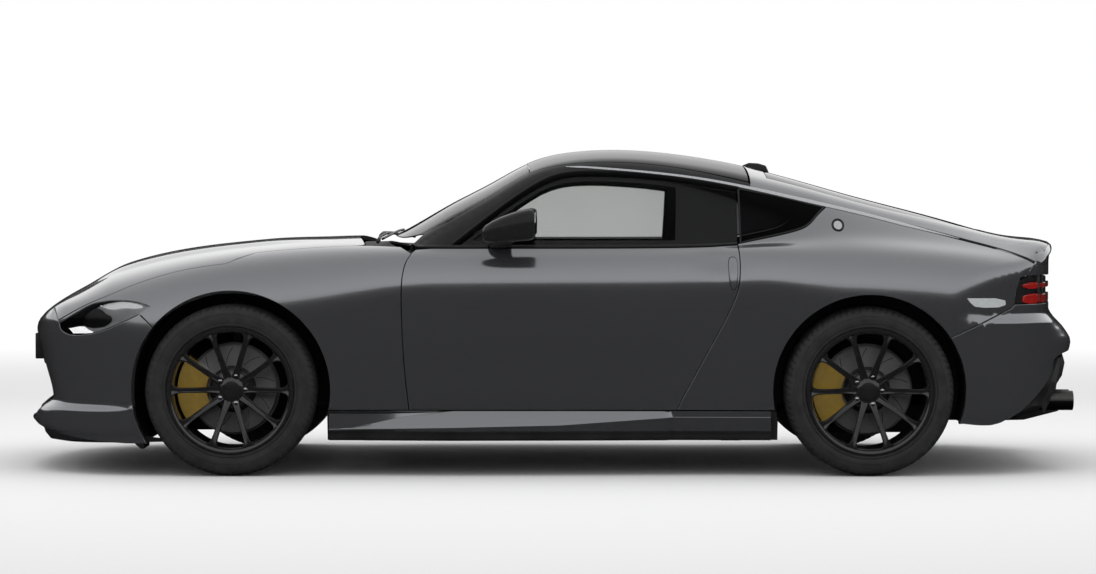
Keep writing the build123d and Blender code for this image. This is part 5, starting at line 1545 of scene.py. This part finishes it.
def puffed(piece, voxel, pressure, frames, cap):
    # an even mesh, swelled a little by cloth under pressure, each point held to a small travel
    activate(piece)
    remesh = piece.modifiers.new("even", "REMESH")
    remesh.mode, remesh.voxel_size = "VOXEL", voxel
    bpy.ops.object.modifier_apply(modifier="even")
    mesh = piece.data
    count = len(mesh.vertices)
    before = np.zeros(count * 3)
    mesh.vertices.foreach_get("co", before)
    before = before.reshape(-1, 3)
    cloth = piece.modifiers.new("swell", "CLOTH")
    settings = cloth.settings
    settings.quality, settings.mass = 4, 0.3
    settings.use_pressure, settings.uniform_pressure_force = True, pressure
    settings.tension_stiffness = settings.compression_stiffness = 12
    settings.effector_weights.gravity = 0
    cloth.point_cache.frame_start, cloth.point_cache.frame_end = 1, frames
    for frameNumber in range(1, frames + 1):
        bpy.context.scene.frame_set(frameNumber)
    posed = piece.evaluated_get(bpy.context.evaluated_depsgraph_get()).data
    after = np.zeros(count * 3)
    posed.vertices.foreach_get("co", after)
    move = after.reshape(-1, 3) - before
    size = np.linalg.norm(move, axis=1, keepdims=True)
    move = move * np.minimum(1, cap / np.maximum(size, 1e-9))
    piece.modifiers.remove(cloth)
    mesh.vertices.foreach_set("co", (before + move).reshape(-1))
    mesh.update()
    bpy.context.scene.frame_set(1)
    smoothing = piece.modifiers.new("soften", "SMOOTH")
    smoothing.factor, smoothing.iterations = 0.5, 4
    bpy.ops.object.modifier_apply(modifier="soften")
    mesh.shade_smooth()


def moved(piece, name, dy):
    copy = bpy.data.objects.new(name, piece.data.copy())
    bpy.context.scene.collection.objects.link(copy)
    values = np.zeros(len(copy.data.vertices) * 3)
    copy.data.vertices.foreach_get("co", values)
    values = values.reshape(-1, 3)
    values[:, 1] += dy
    copy.data.vertices.foreach_set("co", values.reshape(-1))
    copy.data.update()
    return copy


padTable = {"cushion": [(-0.055, 0.345, 8, 0.15, 0.02, 0.0), (-0.07, 0.345, 8, 0.195, 0.048, 0.018),
    (-0.11, 0.342, 6, 0.212, 0.062, 0.028), (-0.22, 0.33, 4, 0.222, 0.064, 0.04),
    (-0.34, 0.318, 4, 0.226, 0.062, 0.046), (-0.45, 0.312, 4, 0.226, 0.06, 0.04),
    (-0.505, 0.312, 4, 0.2, 0.04, 0.01)], "back": [(-0.52, 0.35, 68, 0.17, 0.03, 0.0),
    (-0.54, 0.385, 70, 0.216, 0.056, 0.03), (-0.572, 0.48, 72, 0.226, 0.062, 0.05),
    (-0.606, 0.6, 73, 0.23, 0.062, 0.06), (-0.64, 0.72, 73, 0.228, 0.058, 0.056),
    (-0.668, 0.82, 74, 0.208, 0.052, 0.036), (-0.69, 0.89, 76, 0.168, 0.044, 0.012),
    (-0.702, 0.925, 78, 0.11, 0.026, 0.0)], "headrest": [(-0.706, 0.93, 78, 0.075, 0.02, 0.0),
    (-0.712, 0.955, 78, 0.104, 0.036, 0.004), (-0.722, 1.0, 80, 0.112, 0.04, 0.006),
    (-0.73, 1.036, 84, 0.1, 0.034, 0.004), (-0.734, 1.052, 86, 0.07, 0.016, 0.0)]}
for key, sections in padTable.items():
    pad = padBlock("seat_" + key, sections)
    puffed(pad, seat["voxel"], seat["cloth"], seat["frames"], seat["cap"])
    for side, name in leftRight:
        placed = moved(pad, f"seat_{key}_{name}", -seat["y"] if side else seat["y"])
        placed.data.name = placed.name
        bodyPiece(placed, "car", "seats")
    bpy.data.objects.remove(pad)
shellSide = [(-0.56, 0.2), (-0.6, 0.2), (-0.64, 0.48), (-0.724, 0.86), (-0.742, 0.905), (-0.716, 0.912),
    (-0.69, 0.86), (-0.628, 0.6), (-0.596, 0.47), (-0.57, 0.36), (-0.46, 0.272), (-0.09, 0.29), (-0.06, 0.32),
    (-0.04, 0.32), (-0.045, 0.25), (-0.1, 0.205)]
for side, name in leftRight:
    middle = -seat["y"] if side else seat["y"]
    bodyPiece(prism("seat_shell_" + name, shellSide, "y", middle - 0.195, middle + 0.195, cabinPlastic, 0.008, 3),
        "car", "seats")
    posts, rails = bmesh.new(), bmesh.new()
    for way in (-1, 1):
        y = middle + 0.045 * way
        tubeAlong(posts, [(-0.7, y, 0.88), (-0.712, y, 0.96)], 0.006, 10)
        y = middle + 0.165 * way
        tubeAlong(rails, [(-0.08, y, 0.187), (-0.52, y, 0.187)], 0.014, 8)
    bodyPiece(newMesh("headrest_posts_" + name, posts, silver), "car", "seats")
    bodyPiece(newMesh("seat_rails_" + name, rails, ironDark), "car", "seats")
say("seats")

# floor, console and controls
carpet = moulded("cabin carpet", (0.014, 0.014, 0.0145), 0.92, 420.0, 0.9)
console = {"half": 0.118, "armHalf": 0.085}
consoleSide = [(0.43, 0.335), (0.43, 0.66), (0.3, 0.64), (0.12, 0.608), (-0.12, 0.604), (-0.15, 0.64), (-0.4, 0.64),
    (-0.43, 0.6), (-0.43, 0.335)]
bodyPiece(prism("centre_console", consoleSide, "y", -console["half"], console["half"], cabinPlastic, 0.014, 3),
    "car")
bodyPiece(prism("console_armrest", [(-0.155, 0.636), (-0.15, 0.668), (-0.395, 0.668), (-0.405, 0.636)], "y",
    -console["armHalf"], console["armHalf"], leather, 0.012, 3), "car")
lever = bmesh.new()
turned(lever, [(0.0, 0.062), (0.02, 0.062), (0.027, 0.052), (0.028, 0.036), (0.02, 0.018), (0.011, 0.004),
    (0.011, -0.03), (0.0, -0.03)], (0, 0), 32)
bmesh.ops.rotate(lever, cent=(0, 0, 0), matrix=Matrix.Rotation(math.radians(90), 3, "X"), verts=lever.verts)
bmesh.ops.translate(lever, vec=(0.175, 0.0, 0.645), verts=lever.verts)
bodyPiece(finished("gear_lever", lever, leather), "car")
for k, x in enumerate((0.24, 0.06)):
    switchBlock = [(x - 0.03, 0.612), (x - 0.03, 0.632), (x + 0.03, 0.64), (x + 0.03, 0.618)]
    bodyPiece(prism("console_switches_%d" % k, switchBlock, "y", -0.07, 0.07, frit, 0.003), "car")
mat = [(0.56, 0.156), (0.56, 0.168), (0.235, 0.166), (0.23, 0.156)]
footwell = [(0.672, 0.172), (0.682, 0.18), (0.682, 0.56), (0.672, 0.56)]
bothPieces(prism, "floor_mat", mat, "y", 0.17, 0.56, carpet, 0.004)
bothPieces(prism, "footwell_carpet", footwell, "y", 0.15, 0.63, carpet, 0.003)

# dashboard: padded top with a hood over the dials, a screen and air vents
dashTop = [(0.668, 0.846), (0.665, 0.872), (0.6, 0.8905), (0.48, 0.8965), (0.392, 0.88), (0.352, 0.838),
    (0.334, 0.802), (0.35, 0.79), (0.4, 0.83)]
bodyPiece(prism("dashboard_top", dashTop, "y", -0.64, 0.64, leather, 0.01, 3), "car")
binnacle = bmesh.new()
rings(binnacle, [[(0.48 - 0.085 * s, 0.37 + 0.15 * math.cos(t),
    0.868 + 0.052 * max(0.0, math.sin(t)) ** 0.7 - 0.006 * s) for t in np.linspace(0.0, math.pi, 25)]
    + [(0.48 - 0.085 * s, 0.37 + 0.138 * math.cos(t), 0.866 + 0.042 * max(0.0, math.sin(t)) ** 0.7 - 0.006 * s)
    for t in np.linspace(math.pi, 0.0, 25)] for s in np.linspace(0.0, 1.0, 7)], True, True)
bodyPiece(finished("dial_hood", binnacle, leather, 40), "car")
dials = bmesh.new()
for y in (0.302, 0.37, 0.438):
    wide = 0.042 if abs(y - 0.37) < 0.01 else 0.032
    turned(dials, [(0.0, 0.003), (wide - 0.004, 0.003), (wide - 0.003, 0.008), (wide, 0.008), (wide, -0.006),
        (0.0, -0.006)], (0, 0), 40)
    fresh = [v for v in dials.verts if not v.tag]
    bmesh.ops.rotate(dials, cent=(0, 0, 0), matrix=Matrix.Rotation(math.radians(90), 3, "Z"), verts=fresh)
    bmesh.ops.translate(dials, vec=(0.452, y, 0.88), verts=fresh)
    for v in dials.verts:
        v.tag = True
bodyPiece(finished("instrument_dials", dials, frit, 30), "car")
screenPart = [(0.336, 0.795), (0.345, 0.8), (0.368, 0.906), (0.359, 0.909)]
bodyPiece(prism("cabin_screen", screenPart, "y", -0.135, 0.135, frit, 0.003, 2), "car")
for k, y in enumerate((-0.56, -0.185, 0.165, 0.575)):
    vent = [(0.326, 0.745), (0.326, 0.79), (0.345, 0.795), (0.345, 0.74)]
    bodyPiece(prism("air_vent_%d" % k, vent, "y", y - 0.04, y + 0.04, frit, 0.004), "car")

# steering wheel: padded rim, three spokes and a plain pad over the CAD's column
grip = {"x": 0.235, "y": 0.37, "z": 0.8, "radius": 0.178, "tube": 0.0165, "tilt": 24.0}
wheelGrip = bmesh.new()
rimRows = []
for c, s in circle(96):
    thick = grip["tube"] * (1 + 0.1 * (fade(abs(s), 0.55, 0.75) - fade(abs(s), 0.8, 0.95)))
    radius = grip["radius"] * (1 - 0.05 * fade(-s, 0.8, 1.0))
    rimRows.append([(thick * sb, (radius + thick * cb) * c, (radius + thick * cb) * s) for cb, sb in circle(16)])
rings(wheelGrip, rimRows, True, False, True)
spokes = bmesh.new()
spokeSteps = np.linspace(0, 1, 9)
spokeSection = ((-0.005, -1), (-0.009, 0), (-0.005, 1), (0.005, 1), (0.005, -1))
for side in (-1, 1):
    rings(spokes, [[(0.008 + 0.014 * (1 - s) + h, side * (0.04 + 0.128 * s),
        0.012 + w * (0.03 - 0.012 * s) - 0.006 * s) for h, w in spokeSection] for s in spokeSteps], True, True)
rings(spokes, [[(0.008 + 0.014 * (1 - s) + h, w * (0.024 - 0.008 * s), -0.04 - 0.122 * s) for h, w in spokeSection]
    for s in spokeSteps], True, True)
pad = bmesh.new()
rings(pad, [[(-0.026 + 0.012 * (1 - s) ** 2 + (0.052 if s > 0.99 else 0.0),
    0.074 * u * (0.2 + 0.8 * min(1.0, s * 1.6)), 0.058 * v * (0.2 + 0.8 * min(1.0, s * 1.6)))
    for u, v in squircle(32, 0.6, 0.6)] for s in (0.05, 0.3, 0.6, 0.9, 1.0)], True, True)
place = Matrix.Translation((grip["x"], grip["y"], grip["z"])) @ Matrix.Rotation(math.radians(grip["tilt"]), 4, "Y")
for key, part, finish in (("steering_wheel_rim", wheelGrip, leather), ("steering_wheel_spokes", spokes, silver),
        ("steering_wheel_pad", pad, cabinPlastic)):
    part.transform(place)
    bodyPiece(finished(key, part, finish), "steering_wheel", "steering_wheel")
say("console, dashboard and steering wheel")

# finishes of the parts that keep their CAD shape
bareSteel = metal("worn steel", (0.34, 0.34, 0.35), 0.42, (1, 1, 1), 0.25, 120.0)
castAlloy = metal("cast alloy", (0.46, 0.46, 0.47), 0.48, (1, 1, 1), 0.5, 380.0)
pipeSteel = metal("exhaust steel", (0.085, 0.084, 0.082), 0.34, (1, 6, 1), 0.15, 60.0)
underSeal = moulded("under-body coating", (0.02, 0.02, 0.02), 0.78, 300.0, 0.8)
engineBlack = moulded("engine cover", (0.03, 0.03, 0.031), 0.55, 900.0, 0.4)
keptTable = ((caliperGold, "caliper_left caliper_right rear_calipers"), (skirtMaterial, "sills"),
    (carpet, "boot_floor"), (cabinPlastic, "dashboard"), (engineBlack, "engine"),
    (bareSteel, "front_suspension rear_suspension"), (castAlloy, "knuckle_left knuckle_right"),
    (pipeSteel, "exhaust"), (blackTrim, "tail_panel mirror_left mirror_right rear_diffuser"),
    (cowlGrain, "cowl_panel"), (seatLeather.data, "seats"))
keptFinish = {node: finish for finish, row in keptTable for node in row.split()}
for node, piece in nodes.items():
    finish = keptFinish.get(node, underSeal)
    for slot in piece.material_slots:
        slot.material = finish
say("finishes of the kept parts")

low, high = [list(corner) for corner in cadBox], [list(corner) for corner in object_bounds()]
